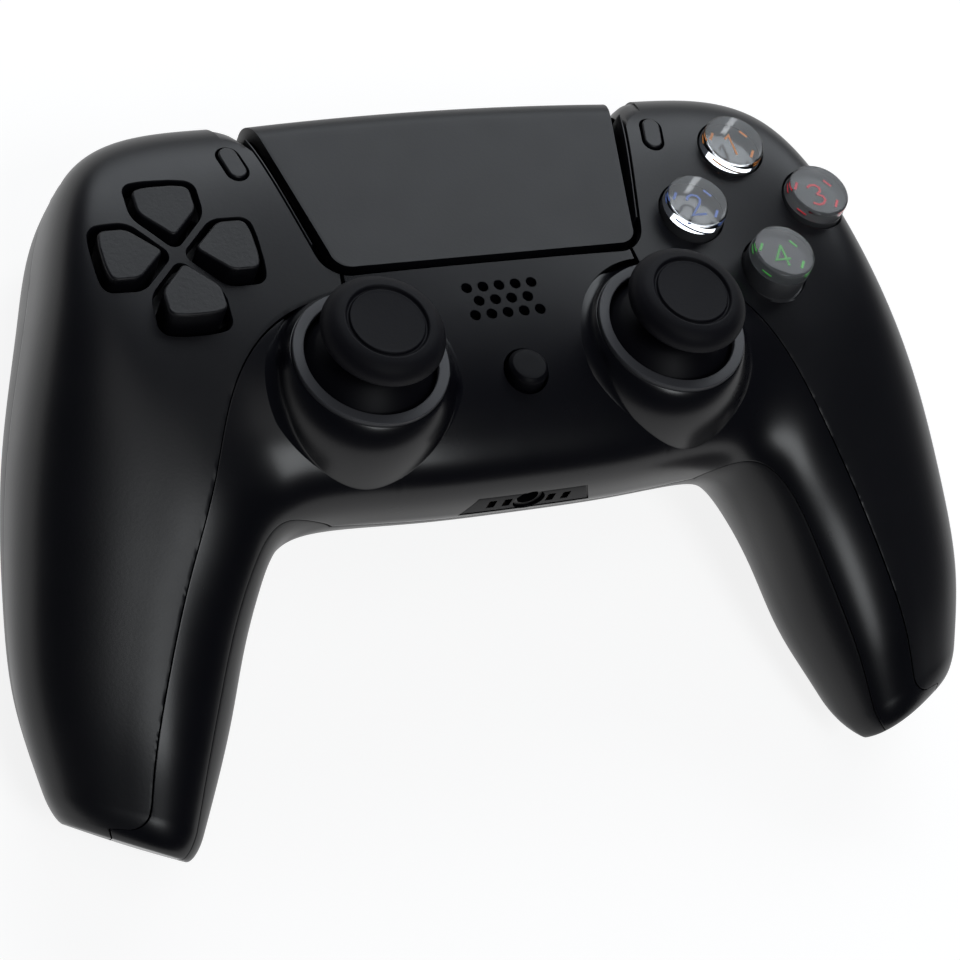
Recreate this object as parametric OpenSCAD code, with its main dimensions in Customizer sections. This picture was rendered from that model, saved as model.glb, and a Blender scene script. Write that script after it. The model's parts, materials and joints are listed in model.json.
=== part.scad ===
// A two-stick game controller with a touchpad. Sizes are in millimetres.
// The pieces are drawn in the face frame: X to the right, Y up the face towards the shoulders,
// Z out of the face, with the origin at the middle of the touchpad's surface. on_table() then
// leans the whole part so that it stands on its grips and its back.

/* [Body] */
// Overall width across the grips
body_w = 160; // [156:1:170]
// Depth of the back below the shells' parting line
back_depth = 26; // [25:0.5:28]
// Wall of the front and rear shells
wall = 2; // [1.6:0.1:2.4]
// Thickness of the centre trim
trim_t = 1.8; // [1.5:0.1:2]
// Width of the ledge under the edge of the trim, in degrees round the section
ledge_a = 12; // [8:1:14]
// Gap at the seams between fixed covers
seam_gap = 0.25; // [0.2:0.05:0.35]
// Edge radius at the end of each grip
tip_r = 2.5; // [2:0.5:4]
// Length of the rounded end of each grip
tip_l = 4; // [3:0.5:5]
// Slope of the rear half of each grip's end, as run back over depth
tip_slope = 0.6; // [0.3:0.05:0.7]
// Lean of the face on a table, away from the player, in degrees
rest_tilt = 10; // [8:0.5:12]

/* [Touchpad] */
// Width of the touchpad along its top edge
pad_top_w = 62.8; // [60:0.2:64]
// Width of the touchpad along its bottom edge
pad_bottom_w = 50.4; // [48:0.2:52]
// Height of the touchpad's face from the bottom edge to the middle of the rolled edge
pad_h = 27.2; // [26:0.2:28]
// Thickness of the touchpad
pad_t = 2.2; // [1.6:0.1:2.6]
// Radius of the rolled top edge
pad_roll_r = 5; // [4:0.5:6]
// How far the rolled top edge bows out at its middle
pad_bow = 1; // [0.4:0.2:1.4]
// Radius of the two bottom corners
pad_corner_r = 3; // [2:0.5:4]
// Gap round the touchpad
pad_gap = 0.9; // [0.6:0.1:1.2]
// Width of the light guides beside the touchpad
light_w = 1.1; // [0.8:0.1:1.4]

/* [Sticks] */
// Half the distance between the two sticks
stick_x = 25.3; // [24.5:0.1:26]
// Height of the sticks on the face
stick_y = -30.2; // [-31:0.1:-29]
// Height of the stick's pivot over the face plane
pivot_z = -10; // [-10.5:0.1:-9.5]
// Radius of the dome that closes the bowl
dome_r = 13.4; // [13:0.1:13.6]
// Radius of the thumb cap
cap_r = 9.5; // [9:0.1:9.7]
// Thickness of the thumb cap
cap_t = 3.7; // [3.2:0.1:4.2]
// Height of the cap's underside over the pivot
cap_lift = 15.8; // [15:0.1:16]
// Outer radius of the ring on the bowl's rim
rim_r = 12; // [11.8:0.1:12.4]
// Width of that ring
rim_w = 1.7; // [1.4:0.1:1.9]
// Height of the ring's top over the face plane
rim_z = 0.5; // [0.3:0.1:0.7]

/* [Buttons] */
// Distance of the button clusters from the middle
cluster_x = 49.2; // [48.5:0.1:50]
// Height of the button clusters on the face
cluster_y = -8.4; // [-9:0.1:-8]
// Distance of the round buttons from the middle of their cluster
button_ring = 11.35; // [11:0.05:11.8]
// Diameter of the round buttons
button_d = 10.4; // [10:0.1:10.8]
// Height of the round buttons' tops over the face plane
button_z = 2.5; // [2:0.1:3]
// Outer reach of the direction keys from the middle of their cluster
key_reach = 12; // [11.5:0.1:12.4]
// Width of a direction key
key_w = 9.4; // [9:0.1:9.8]
// Height of the direction keys' tops over the face plane
key_z = 0.9; // [0.6:0.1:1.3]
// Gap round each direction key
key_gap = 0.9; // [0.8:0.05:1]
// Distance of the two menu buttons from the middle
menu_x = 36.3; // [36:0.1:37]
// Height of the menu buttons on the face
menu_y = 7.2; // [7:0.1:8.2]
// Length of a menu button
menu_l = 6; // [5.5:0.1:6.5]
// Width of a menu button
menu_w = 3; // [2.6:0.1:3.4]
// Diameter of the home button
home_d = 6.4; // [6:0.1:7]
// Height of the home button on the face
home_y = -33.5; // [-34:0.1:-32]
// Gap round the pressed buttons
button_gap = 0.35; // [0.3:0.05:0.5]
// Travel of the round buttons
button_travel = 1.2; // [1:0.1:1.4]

/* [Shoulders] */
// Where each trigger starts, from the middle
trigger_x = 39.4; // [39:0.1:40]
// Width of a trigger
trigger_w = 19.2; // [18:0.1:19.5]
// Wall of a trigger
trigger_wall = 1.8; // [1.4:0.1:2]
// Radius of the trigger and bumper pins
pin_r = 1; // [0.8:0.05:1.1]
// Running clearance of a pin in its bore
pin_play = 0.05; // [0.03:0.01:0.08]
// Gap round the triggers and bumpers
shoulder_gap = 0.5; // [0.4:0.05:0.7]

/* [Inside] */
// Thickness of the main board
board_t = 1.6; // [1.2:0.1:1.8]
// Height of the main board's top below the face plane
board_z = -17; // [-17.4:0.1:-16.8]
// Thickness of the middle frame
frame_t = 1.6; // [1.4:0.1:2]
// Height of the middle frame's top below the face plane
frame_z = -11.5; // [-12:0.1:-11.4]
// Length of the battery
battery_l = 44; // [40:1:46]
// Width of the battery
battery_w = 32; // [28:1:34]
// Thickness of the battery
battery_t = 9; // [7:0.5:9.5]
// Radius of each rumble motor
motor_r = 8; // [7:0.5:9]
// Length of each rumble motor
motor_l = 14; // [12:0.5:15]
// Radius of the headset socket's bore
jack_r = 1.75; // [1.7:0.05:1.85]
// Depth of the headset socket's bore
jack_l = 14; // [12:0.5:15]
// Radius of a case screw
screw_r = 1.1; // [1:0.05:1.2]

/* [Hidden] */
$fn = 64;

// Control rows of the body's right half, from the middle to the grip's end. Each row holds the
// inner edge (x, y, z), the outer edge (x, y, z), the lean of the section, its height over and
// depth under the line between the edges, the squareness of its four quarters (top inner, top
// outer, back inner, back outer), and the angles of the trim's upper and lower seams.
half_w = body_w / 2;
ROWS = [
    [0, -48, -18.6, 0, 17.8, -13, 0, 15, back_depth, 3.2, 5, 1.6, 3, 90, -7],
    [17, -48, -18.6, 19, 17.8, -13, 0, 15, back_depth, 3.2, 5, 1.6, 3, 90, -7],
    [33, -45.7, -20, 41, 19.8, -14, 0, 15.5, back_depth, 3, 4.5, 1.6, 3, 89, -4],
    [39.4, -45.9, -24, 62, 17.8, -13, 6, 17, back_depth - 1.5, 2.8, 4, 1.8, 2.8, 75, 22],
    [43.4, -51, -30, half_w - 11, -6, -12.5, 14, 17.5, back_depth - 5, 2.6, 3.4, 2, 2.6, 74, 40],
    [46.4, -57.8, -35, half_w - 3.5, -26, -20.5, 22, 15.5, 17, 2.5, 3, 2, 2.5, 76, 43],
    [48.7, -66, -38.5, half_w - 0.7, -44, -31, 29, 14, 15.5, 2.4, 2.8, 2, 2.4, 77, 42],
    [52.5, -74.5, -41.5, half_w + 0.3, -58.5, -38.5, 33, 12, 13.5, 2.4, 2.8, 2, 2.4, 77, 38],
    [55.9, -81.4, -44.5, half_w - 2.3, -70.6, -44, 34, 9, 11, 2.4, 2.8, 2, 2.4, 78, 32]];
last_row = len(ROWS) - 1;
// Places along the body at which sections are cut: the rows, the round of each grip's end, and
// its flat end, which lies one step past the round
cap_steps = 3;
half_places = concat([for (u = [0.5:0.5:1]) u], [for (u = [1.25:0.25:last_row]) u],
    [for (k = [1:cap_steps]) last_row + k / cap_steps], [last_row + 2]);
PLACES = concat([for (k = [len(half_places) - 1:-1:0]) -half_places[k]], [0], half_places);
wing_steps = 10;
ledge_steps = 2;
trim_steps = 7;
back_steps = 15;

function spline_weights(t) = [(1 - t)^3 / 6, (3 * t^3 - 6 * t^2 + 4) / 6,
    (-3 * t^3 + 3 * t^2 + 3 * t + 1) / 6, t^3 / 6];
function mirrored_row(r) = [for (k = [0:len(r) - 1]) (k == 0 || k == 3 ? -1 : 1) * r[k]];
function control_row(i) = i < 0 ? mirrored_row(ROWS[-i])
    : i > last_row ? 2 * ROWS[last_row] - ROWS[last_row - 1] : ROWS[i];
function row_at(w) = let (i = floor(w), b = spline_weights(w - i))
    b[0] * control_row(i - 1) + b[1] * control_row(i) + b[2] * control_row(i + 1) + b[3] * control_row(i + 2);
function unit(v) = v / norm(v);
function row_of(u) = row_at(min(abs(u), last_row));
function inner_edge(r) = [r[0], r[1], r[2]];
function outer_edge(r) = [r[3], r[4], r[5]];

// Directions in which the two edges run at the grip's end
INNER_RUN = unit(inner_edge(row_at(last_row)) - inner_edge(row_at(last_row - 0.25)));
OUTER_RUN = unit(outer_edge(row_at(last_row)) - outer_edge(row_at(last_row - 0.25)));

// How far the slope of the grip's end has come in at a place along the body
slope_from = last_row - 2;
function slope_share(u) = let (t = max(0, min(abs(u), last_row) - slope_from) / (last_row - slope_from))
    t^2 * (3 - 2 * t);

// A point of the body's surface at place u along the body and angle a round the section, from 0 at
// the inner edge over the face to 180 at the outer edge and back along the rear. A positive inset
// lies that far inside the surface.
function skin(u, a, inset = 0) = let (
    r = row_of(u),
    past = max(0, abs(u) - last_row),
    round_a = 90 * min(past, 1),
    open = past > 1 ? 0 : 1,
    span = outer_edge(r) - inner_edge(r),
    along = unit(span),
    lean = [0, -sin(r[6]), cos(r[6])],
    up = unit(lean - along * (lean * along)),
    sink = inset + (tip_r - inset) * (1 - cos(round_a)),
    c = -cos(a),
    s = sin(a),
    e = s >= 0 ? (c < 0 ? r[9] : r[10]) : (c < 0 ? r[11] : r[12]),
    share = sign(c) * pow(abs(c), 2 / e),
    x = share * (norm(span) / 2 - sink),
    z = sign(s) * pow(abs(s), 2 / e) * ((s >= 0 ? r[7] : r[8]) - sink) * open,
    ahead = unit(INNER_RUN * (1 - share) + OUTER_RUN * (1 + share)),
    run = (tip_l - inset) * sin(round_a) - max(0, -z) * tip_slope * slope_share(u),
    p = (inner_edge(r) + outer_edge(r)) / 2 + ahead * run + along * x + up * z)
    [u < 0 ? -p.x : p.x, p.y, p.z];
function upper_seam(u) = row_of(u)[13];
function lower_seam(u) = row_of(u)[14];
// A length along the section as an angle
function gap_angle(u, gap) = let (r = row_of(u)) gap / norm(outer_edge(r) - inner_edge(r)) * 360 / PI;

function flat_list(rows) = [for (row = rows) for (p = row) p];
function sound(p, f) = norm(cross(p[f[1]] - p[f[0]], p[f[2]] - p[f[0]])) > 0.0001;
function quad(a, b, c, d) = [[a, b, c], [a, c, d]];

// A closed sheet between two grids of points, outer and inner, row by row along the body
module sheet(outer, inner) {
    n = len(outer);
    m = len(outer[0]);
    points = concat(flat_list(outer), flat_list(inner));
    under = n * m;
    quads = concat(
        [for (i = [0:n - 2]) for (j = [0:m - 2]) let (k = i * m + j) quad(k, k + 1, k + m + 1, k + m)],
        [for (i = [0:n - 2]) for (j = [0:m - 2]) let (k = under + i * m + j) quad(k, k + m, k + m + 1, k + 1)],
        [for (i = [0:n - 2]) let (k = i * m) quad(k, k + m, under + k + m, under + k)],
        [for (i = [0:n - 2]) let (k = i * m + m - 1) quad(k, under + k, under + k + m, k + m)],
        [for (j = [0:m - 2]) quad(j, under + j, under + j + 1, j + 1)],
        [for (j = [0:m - 2]) let (k = (n - 1) * m + j) quad(k, k + 1, under + k + 1, under + k)]);
    polyhedron(points, [for (q = quads) for (f = q) if (sound(points, f)) f]);
}

// Points of the surface across one section, in steps from one angle to another
function section(u, from, to, steps, inset) =
    [for (k = [0:steps]) skin(u, from + (to - from) * k / steps, inset)];

// Trigger's side view as (y, z): face, tip, underside and the lug at the pivot
trigger_pivot = [8, -19.2];
TRIGGER_SIDE = [[8, -16.9], [17.6, -17], [19.6, -20], [20.7, -24], [21.2, -28], [21.8, -31.2], [23, -33.6],
    [22.4, -34.3], [20, -34.4], [15, -33.4], [10.5, -31.9], [6.2, -20.9], [5.9, -18.4]];
// Stand the part on the table, its origin under the middle of its box
function leaned(p) = let (c = cos(rest_tilt), s = sin(rest_tilt)) [p.x, p.y * c + p.z * s, p.z * c - p.y * s];
function back_section(u, inset) = section(u, 180, 360 + lower_seam(u), back_steps, inset);
OUTLINE = [for (u = PLACES) if (u >= 0) for (p = back_section(u, 0)) leaned(p)];
table_z = min([for (p = OUTLINE) p.z]);
near_y = min([for (p = OUTLINE) p.y]);
far_y = max([for (p = concat(OUTLINE, [for (q = TRIGGER_SIDE) leaned([0, q.x, q.y])])) p.y]);
module on_table() {
    translate([0, -(near_y + far_y) / 2, -table_z]) rotate([-rest_tilt, 0, 0]) children();
}
module at_side(s) {
    mirror([s < 0 ? 1 : 0, 0, 0]) children();
}
// An outline drawn as (y, z) and drawn out along X
module across(w) {
    rotate([90, 0, 90]) linear_extrude(w) children();
}

// Touchpad
pad_low_y = -pad_h / 2;
pad_roll_y = pad_h / 2 - pad_roll_r / 2 + 0.5 + pad_bow;
pad_end_y = pad_roll_y + pad_roll_r;
pad_wall_z = -9;
opening_top = 40;
pad_slope = (pad_top_w - pad_bottom_w) / 2 / pad_h;
pad_side_a = atan(pad_slope);
// Radius of the bow, over half the touchpad's top width
pad_bow_r = (pad_top_w / 2)^2 / (2 * pad_bow);
// Half the touchpad's width at a height on the face
function pad_half(y) = pad_bottom_w / 2 + (y - pad_low_y) * pad_slope;
light_room = pad_gap + light_w + 2 * seam_gap;

module pad_outline(grow, low_y, high_y) {
    polygon([[-pad_half(low_y) - grow, low_y], [pad_half(low_y) + grow, low_y],
        [pad_half(high_y) + grow, high_y], [-pad_half(high_y) - grow, high_y]]);
}
module touchpad_opening() {
    lip = 0.4;
    translate([0, 0, pad_wall_z - shoulder_gap]) linear_extrude(20)
        pad_outline(light_room, pad_low_y - pad_gap - lip, opening_top);
}
module touchpad() {
    arc_steps = 12;
    pad_sweep = 2 * atan(opening_top / pad_bow_r);
    function roll(r, k) = [pad_roll_y + r * sin(90 * k / arc_steps), -pad_roll_r + r * cos(90 * k / arc_steps)];
    side = concat([[pad_low_y, 0]], [for (k = [0:arc_steps]) roll(pad_roll_r, k)],
        [[pad_end_y, pad_wall_z], [pad_end_y - pad_t, pad_wall_z]],
        [for (k = [arc_steps:-1:0]) roll(pad_roll_r - pad_t, k)], [[pad_low_y, -pad_t]]);
    color([0.2, 0.2, 0.22]) on_table() intersection() {
        translate([0, -pad_bow_r, 0]) rotate([0, 0, 90 - pad_sweep / 2])
            rotate_extrude(angle = pad_sweep, $fn = 720) translate([pad_bow_r, 0]) polygon(side);
        translate([0, 0, -opening_top]) linear_extrude(2 * opening_top) union() {
            pad_outline(0, pad_low_y + pad_corner_r, opening_top);
            for (s = [-1, 1])
                translate([s * (pad_half(pad_low_y + pad_corner_r) - pad_corner_r), pad_low_y + pad_corner_r])
                    circle(pad_corner_r);
            translate([-pad_half(pad_low_y) + pad_corner_r, pad_low_y])
                square([2 * pad_half(pad_low_y) - 2 * pad_corner_r, pad_corner_r * 2]);
        }
    }
}
// Sensor board under the touchpad, with its click switch
pad_board_z = -5.2;
pad_board_t = 1.3;
pad_post_x = 12;
pad_press = 0.5;
module touchpad_board() {
    color([0.1, 0.3, 0.2]) on_table() {
        translate([-20, -8, pad_board_z - pad_board_t]) cube([40, 15, pad_board_t]);
        translate([0, -6, pad_board_z]) cylinder(h = -pad_t - 2 * pad_press - pad_board_z, r = 1.8);
    }
}
module light_guide(s) {
    low_y = pad_low_y;
    high_y = pad_roll_y;
    depth = 3.4;
    in_low = pad_half(low_y) + pad_gap + seam_gap;
    in_high = pad_half(high_y) + pad_gap + seam_gap;
    color([0.75, 0.78, 0.8]) on_table() at_side(s) translate([0, 0, -depth - 0.4]) linear_extrude(depth)
        polygon([[in_low, low_y], [in_low + light_w, low_y], [in_high + light_w, high_y], [in_high, high_y]]);
}

// Sticks
dome_play = 0.4;
dome_wall = 1.2;
dome_low_a = 66;
rim_t = 1.3;
press_travel = 0.5;
neck_r = 4.6;
stem_r = 2;
housing_w = 15;
housing_top = -6.5;
housing_wall = 1;
carrier_play = 0.3;
carrier_w = housing_w - 2 * housing_wall - 2 * carrier_play;
carrier_wall = 1.3;
gimbal_w = carrier_w - 2 * carrier_wall - 1;
gimbal_wall = 1.2;
gimbal_t = 2;
trunnion_r = 0.7;
bowl_r = dome_r + dome_play;
// Flank of the bowl's pod, as (radius, height) from the rim down
POD_FLANK = [[rim_r + 0.2, rim_z - 0.8], [rim_r + 1.5, rim_z - 2.6], [rim_r + 2.5, rim_z - 5],
    [rim_r + 3.3, rim_z - 8.5], [rim_r + 3.7, rim_z - 12.5]];
module at_stick(s) {
    translate([s * stick_x, stick_y, 0]) children();
}
module pod() {
    arc_steps = 8;
    ledge_z = rim_z - rim_t - 0.05;
    top_a = acos((ledge_z - pivot_z) / bowl_r);
    low_z = POD_FLANK[4].y;
    bowl = [for (k = [arc_steps:-1:0]) let (a = top_a + (90 - top_a) * k / arc_steps)
        [bowl_r * sin(a), pivot_z + bowl_r * cos(a)]];
    rotate_extrude() polygon(concat([[bowl_r, low_z]], bowl,
        [[rim_r + 0.05, ledge_z], [rim_r + 0.05, rim_z - 0.8]], POD_FLANK));
}
module pod_room() {
    rotate_extrude() polygon(concat([[0, rim_z + 0.5], [rim_r + 0.2 + seam_gap, rim_z + 0.5]],
        [for (p = POD_FLANK) [p.x + seam_gap, p.y]], [[0, POD_FLANK[4].y]]));
}
module stick_ring(s) {
    bevel = 0.3;
    color([0.3, 0.3, 0.32]) on_table() at_stick(s) rotate_extrude()
        polygon([[rim_r - rim_w, rim_z - rim_t], [rim_r, rim_z - rim_t], [rim_r, rim_z - bevel],
            [rim_r - bevel, rim_z], [rim_r - rim_w + bevel, rim_z], [rim_r - rim_w, rim_z - bevel]]);
}
// The rubber thumb cap, with a raised rim round a shallow dish, moulded on the stem's head
head_r = 6;
head_t = 1.6;
module stick_cap(s) {
    low = pivot_z + cap_lift;
    top = low + cap_t;
    dish_r = cap_r * 0.62;
    lip = 1.3;
    color([0.1, 0.1, 0.12]) on_table() at_stick(s) rotate_extrude()
        polygon([[0, low + head_t], [head_r, low + head_t], [head_r, low], [cap_r - lip, low],
            [cap_r, low + lip], [cap_r, top - lip], [cap_r - lip, top - 0.1], [dish_r + 0.9, top],
            [dish_r, top - 0.7], [0, top - 0.6]]);
}
module stick_stem(s) {
    low_a = dome_low_a;
    steps = 10;
    cap_low = pivot_z + cap_lift;
    top_a = asin(neck_r / dome_r);
    in_r = dome_r - dome_wall;
    in_top_a = asin(stem_r / in_r);
    function arc_point(r, a) = [r * sin(a), pivot_z + r * cos(a)];
    outer_arc = [for (k = [0:steps]) arc_point(dome_r, low_a + (top_a - low_a) * k / steps)];
    inner_arc = [for (k = [0:steps]) arc_point(in_r, in_top_a + (low_a - in_top_a) * k / steps)];
    color([0.12, 0.12, 0.14]) on_table() at_stick(s) {
        rotate_extrude() polygon(concat([[0, pivot_z - stem_r], [stem_r, pivot_z - stem_r]], inner_arc,
            outer_arc, [[neck_r, cap_low], [head_r, cap_low], [head_r, cap_low + head_t], [0, cap_low + head_t]]));
        translate([0, -gimbal_w / 2 + 0.1, pivot_z]) rotate([-90, 0, 0])
            cylinder(h = gimbal_w - 0.2, r = trunnion_r);
    }
}
// The tilting ring that the stem turns in
module stick_gimbal(s) {
    in_w = gimbal_w - 2 * gimbal_wall;
    color([0.75, 0.75, 0.72]) on_table() at_stick(s) translate([0, 0, pivot_z]) {
        difference() {
            translate([-gimbal_w / 2, -gimbal_w / 2, -gimbal_t / 2]) cube([gimbal_w, gimbal_w, gimbal_t]);
            translate([-in_w / 2, -in_w / 2, -gimbal_t]) cube([in_w, in_w, 2 * gimbal_t]);
            translate([0, -gimbal_w, 0]) rotate([-90, 0, 0])
                cylinder(h = 2 * gimbal_w, r = trunnion_r + pin_play);
        }
        for (d = [0, 180]) rotate([0, 0, d]) translate([gimbal_w / 2 - gimbal_wall / 2, 0, 0])
            rotate([0, 90, 0]) cylinder(h = gimbal_wall / 2 + 0.5 + carrier_wall - 0.2, r = trunnion_r);
    }
}
// The frame that slides down in the housing when the stick is pressed
module stick_carrier(s) {
    in_w = carrier_w - 2 * carrier_wall;
    carrier_t = 3;
    color([0.85, 0.85, 0.82]) on_table() at_stick(s) translate([0, 0, pivot_z]) difference() {
        translate([-carrier_w / 2, -carrier_w / 2, -carrier_t / 2]) cube([carrier_w, carrier_w, carrier_t]);
        translate([-in_w / 2, -in_w / 2, -carrier_t]) cube([in_w, in_w, 2 * carrier_t]);
        translate([-carrier_w, 0, 0]) rotate([0, 90, 0]) cylinder(h = 2 * carrier_w, r = trunnion_r + pin_play);
    }
}
module stick_housing(s) {
    in_w = housing_w - 2 * housing_wall;
    color([0.6, 0.62, 0.65]) on_table() at_stick(s) difference() {
        translate([-housing_w / 2, -housing_w / 2, board_z])
            cube([housing_w, housing_w, housing_top - board_z]);
        translate([-in_w / 2, -in_w / 2, board_z + housing_wall]) cube([in_w, in_w, 20]);
    }
}

// Buttons
cluster_places = [[0, 1], [-1, 0], [1, 0], [0, -1]];
button_low_z = -3.3;
flange_t = 1;
boss_low_z = -6;
module at_cluster(s) {
    translate([s * cluster_x, cluster_y, 0]) children();
}
module round_button(k) {
    crown = 0.5;
    sphere_r = (button_d^2 / 4 + crown^2) / (2 * crown);
    color([0.75, 0.78, 0.8]) on_table() at_cluster(1) translate(button_ring * cluster_places[k]) {
        intersection() {
            translate([0, 0, button_low_z]) cylinder(h = button_z - button_low_z, d = button_d);
            translate([0, 0, button_z - sphere_r]) sphere(sphere_r, $fn = 128);
        }
        translate([0, 0, button_low_z - flange_t]) cylinder(h = flange_t, d = button_d + 2 * button_gap + 0.9);
        translate([0, 0, boss_low_z]) cylinder(h = button_low_z - flange_t - boss_low_z, r = 3);
    }
}
module button_holes() {
    at_cluster(1) for (p = cluster_places) translate(button_ring * p) {
        translate([0, 0, -20]) cylinder(h = 40, d = button_d + 2 * button_gap);
        translate([0, 0, -20]) cylinder(h = 20 + button_low_z + 0.3, d = button_d + 2 * button_gap + 1.6);
    }
}
// A direction key points at the middle of the cluster and has round corners
key_r = 1;
key_tip = 2.4;
module key_outline(grow) {
    shoulder = key_tip + key_w / 2;
    offset(r = key_r + grow) offset(delta = -key_r)
        polygon([[0, key_tip], [key_w / 2, shoulder], [key_w / 2, key_reach - 0.5], [key_w / 4, key_reach],
            [-key_w / 4, key_reach], [-key_w / 2, key_reach - 0.5], [-key_w / 2, shoulder]]);
}
plate_z = -5.6;
plate_t = 1.6;
plate_room = 1.4;
module dpad() {
    color([0.16, 0.16, 0.17]) on_table() at_cluster(-1) {
        for (d = [0:90:270]) rotate([0, 0, d]) translate([0, 0, plate_z]) linear_extrude(key_z - plate_z)
            key_outline(0, $fn = 24);
        translate([0, 0, plate_z - plate_t]) cylinder(h = plate_t, r = key_reach + 1);
    }
}
module key_holes() {
    at_cluster(-1) for (d = [0:90:270]) rotate([0, 0, d]) translate([0, 0, -20]) linear_extrude(40)
        key_outline(key_gap, $fn = 24);
    at_cluster(-1) translate([0, 0, -20]) cylinder(h = 20 + plate_z + plate_room, r = key_reach + 2);
}
// The bead that the direction keys rock on
bead_r = 2.2;
bead_t = 2.9;
bead_play = 0.3;
bead_top = plate_z - plate_t - bead_play;
module dpad_pivot() {
    color([0.4, 0.4, 0.42]) on_table() at_cluster(-1) translate([0, 0, bead_top - bead_t])
        cylinder(h = bead_t, r = bead_r);
}
module pill(l, w, h) {
    for (y = [-1, 1]) translate([0, y * (l - w) / 2, 0]) cylinder(h = h, d = w);
    translate([-w / 2, -(l - w) / 2, 0]) cube([w, l - w, h]);
}
menu_top = 0.7;
menu_low = -4.8;
module at_menu(s) {
    at_side(s) translate([menu_x, menu_y, 0]) rotate([0, 0, -pad_side_a]) children();
}
module menu_button(s) {
    color([0.12, 0.12, 0.13]) on_table() at_menu(s) {
        translate([0, 0, menu_low]) pill(menu_l, menu_w, menu_top - menu_low);
        translate([0, 0, menu_low - flange_t]) pill(menu_l + 1.6, menu_w + 1.6, flange_t);
    }
}
module menu_holes() {
    for (s = [-1, 1]) at_menu(s) translate([0, 0, -20]) {
        pill(menu_l + 2 * button_gap, menu_w + 2 * button_gap, 40);
        pill(menu_l + 2.6, menu_w + 2.6, 20 + menu_low + 0.3);
    }
}
home_top = -1.2;
home_low = -7.6;
module home_button() {
    bevel = 0.7;
    color([0.12, 0.12, 0.13]) on_table() translate([0, home_y, 0]) rotate_extrude()
        polygon([[0, home_low - flange_t], [home_d / 2 + 1, home_low - flange_t], [home_d / 2 + 1, home_low],
            [home_d / 2, home_low], [home_d / 2, home_top - bevel], [home_d / 2 - bevel, home_top],
            [0, home_top]]);
}
// Rows of the speaker's holes, as many as each row has
speaker_y = -21.1;
speaker_r = 6.8;
speaker_hole_r = 0.85;
speaker_pitch = 2.75;
speaker_row = 2.4;
SPEAKER_ROWS = [5, 4, 5];
module speaker_holes() {
    for (k = [0:2]) for (i = [0:SPEAKER_ROWS[k] - 1])
        translate([(i - (SPEAKER_ROWS[k] - 1) / 2) * speaker_pitch, speaker_y + (1 - k) * speaker_row, -10])
            cylinder(h = 15, r = speaker_hole_r, $fn = 24);
}
module speaker_window() {
    translate([-speaker_r - 0.5, speaker_y - 5, -12]) cube([2 * speaker_r + 1, 9.4, 15]);
}
module speaker() {
    rim_h = 4.6;
    color([0.15, 0.15, 0.16]) on_table() translate([0, speaker_y, frame_z]) difference() {
        cylinder(h = rim_h, r = speaker_r);
        translate([0, 0, rim_h - 1]) cylinder(h = 5, r = speaker_r - 1);
    }
}

// Shoulders
bumper_from = 1.88;
bumper_to = 3.06;
bumper_top_a = 172.3;
bumper_low_a = 181.6;
bumper_depth = 5;
bumper_pin_x = 39.5;
bumper_pin_y = 10.8;
bumper_room_top = -6.4;
bumper_room_low = -16.6;
lug_r = 2.2;
lug_low = -11.1;
lug_top = -8.6;
trigger_back_y = 9.1;
ear_r = 2.4;
ear_t = 1.5;
ear_gap = 0.4;
bracket_t = 1.6;
bracket_z = frame_z - frame_t;

module bumper(s) {
    steps = 10;
    places = [for (k = [0:steps]) bumper_from + (bumper_to - bumper_from) * k / steps];
    rise = 6;
    color([0.14, 0.14, 0.15]) on_table() at_side(s) difference() {
        union() {
            sheet([for (u = places) section(u, bumper_top_a, bumper_low_a, rise, 0.1)],
                [for (u = places) section(u, bumper_top_a, bumper_low_a, rise, bumper_depth)]);
            translate([bumper_pin_x, bumper_pin_y, lug_low]) {
                cylinder(h = lug_top - lug_low, r = lug_r);
                translate([-lug_r, 0, 0]) cube([2 * lug_r, 5, lug_top - lug_low]);
            }
        }
        translate([bumper_pin_x, bumper_pin_y, -30]) cylinder(h = 40, r = pin_r + pin_play);
    }
}
module bumper_pin(s) {
    color("silver") on_table() at_side(s) translate([bumper_pin_x, bumper_pin_y, bracket_z])
        cylinder(h = lug_top + 0.4 - bracket_z, r = pin_r);
}
// The underside is cut back at the outer end, where the shell's back curves in
taper_y = 15.5;
module trigger(s) {
    in_w = trigger_w - 2 * trigger_wall;
    far_x = trigger_x + trigger_w;
    color([0.14, 0.14, 0.15]) on_table() at_side(s) difference() {
        intersection() {
            translate([trigger_x, 0, 0]) across(trigger_w) polygon(TRIGGER_SIDE);
            translate([0, 0, -60]) linear_extrude(60) polygon([[trigger_x, 0], [trigger_x, 22],
                [trigger_x + 3, 23.5], [trigger_x + trigger_w * 0.5, 23.5], [trigger_x + trigger_w * 0.8, 22],
                [trigger_x + trigger_w, 19], [trigger_x + trigger_w, 0]]);
        }
        translate([trigger_x + trigger_wall, 0, 0]) across(in_w) union() {
            offset(delta = -trigger_wall) polygon(TRIGGER_SIDE);
            translate([0, -30]) square([13, 20]);
        }
        translate([trigger_x - 1, trigger_pivot.x, trigger_pivot.y]) rotate([0, 90, 0])
            cylinder(h = trigger_w + 2, r = pin_r + pin_play);
        translate([0, taper_y, 0]) rotate([90, 0, 0]) linear_extrude(20)
            polygon([[far_x - 7, -40], [far_x - 7, -34.6], [far_x + 1, -26.4], [far_x + 1, -40]]);
    }
}
ear_in_x = trigger_x - ear_gap;
ear_out_x = trigger_x + trigger_w + ear_gap;
module trigger_pin(s) {
    color("silver") on_table() at_side(s) translate([ear_in_x - ear_t - 0.3, trigger_pivot.x, trigger_pivot.y])
        rotate([0, 90, 0]) cylinder(h = ear_out_x - ear_in_x + 2 * ear_t + 0.6, r = pin_r);
}
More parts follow.
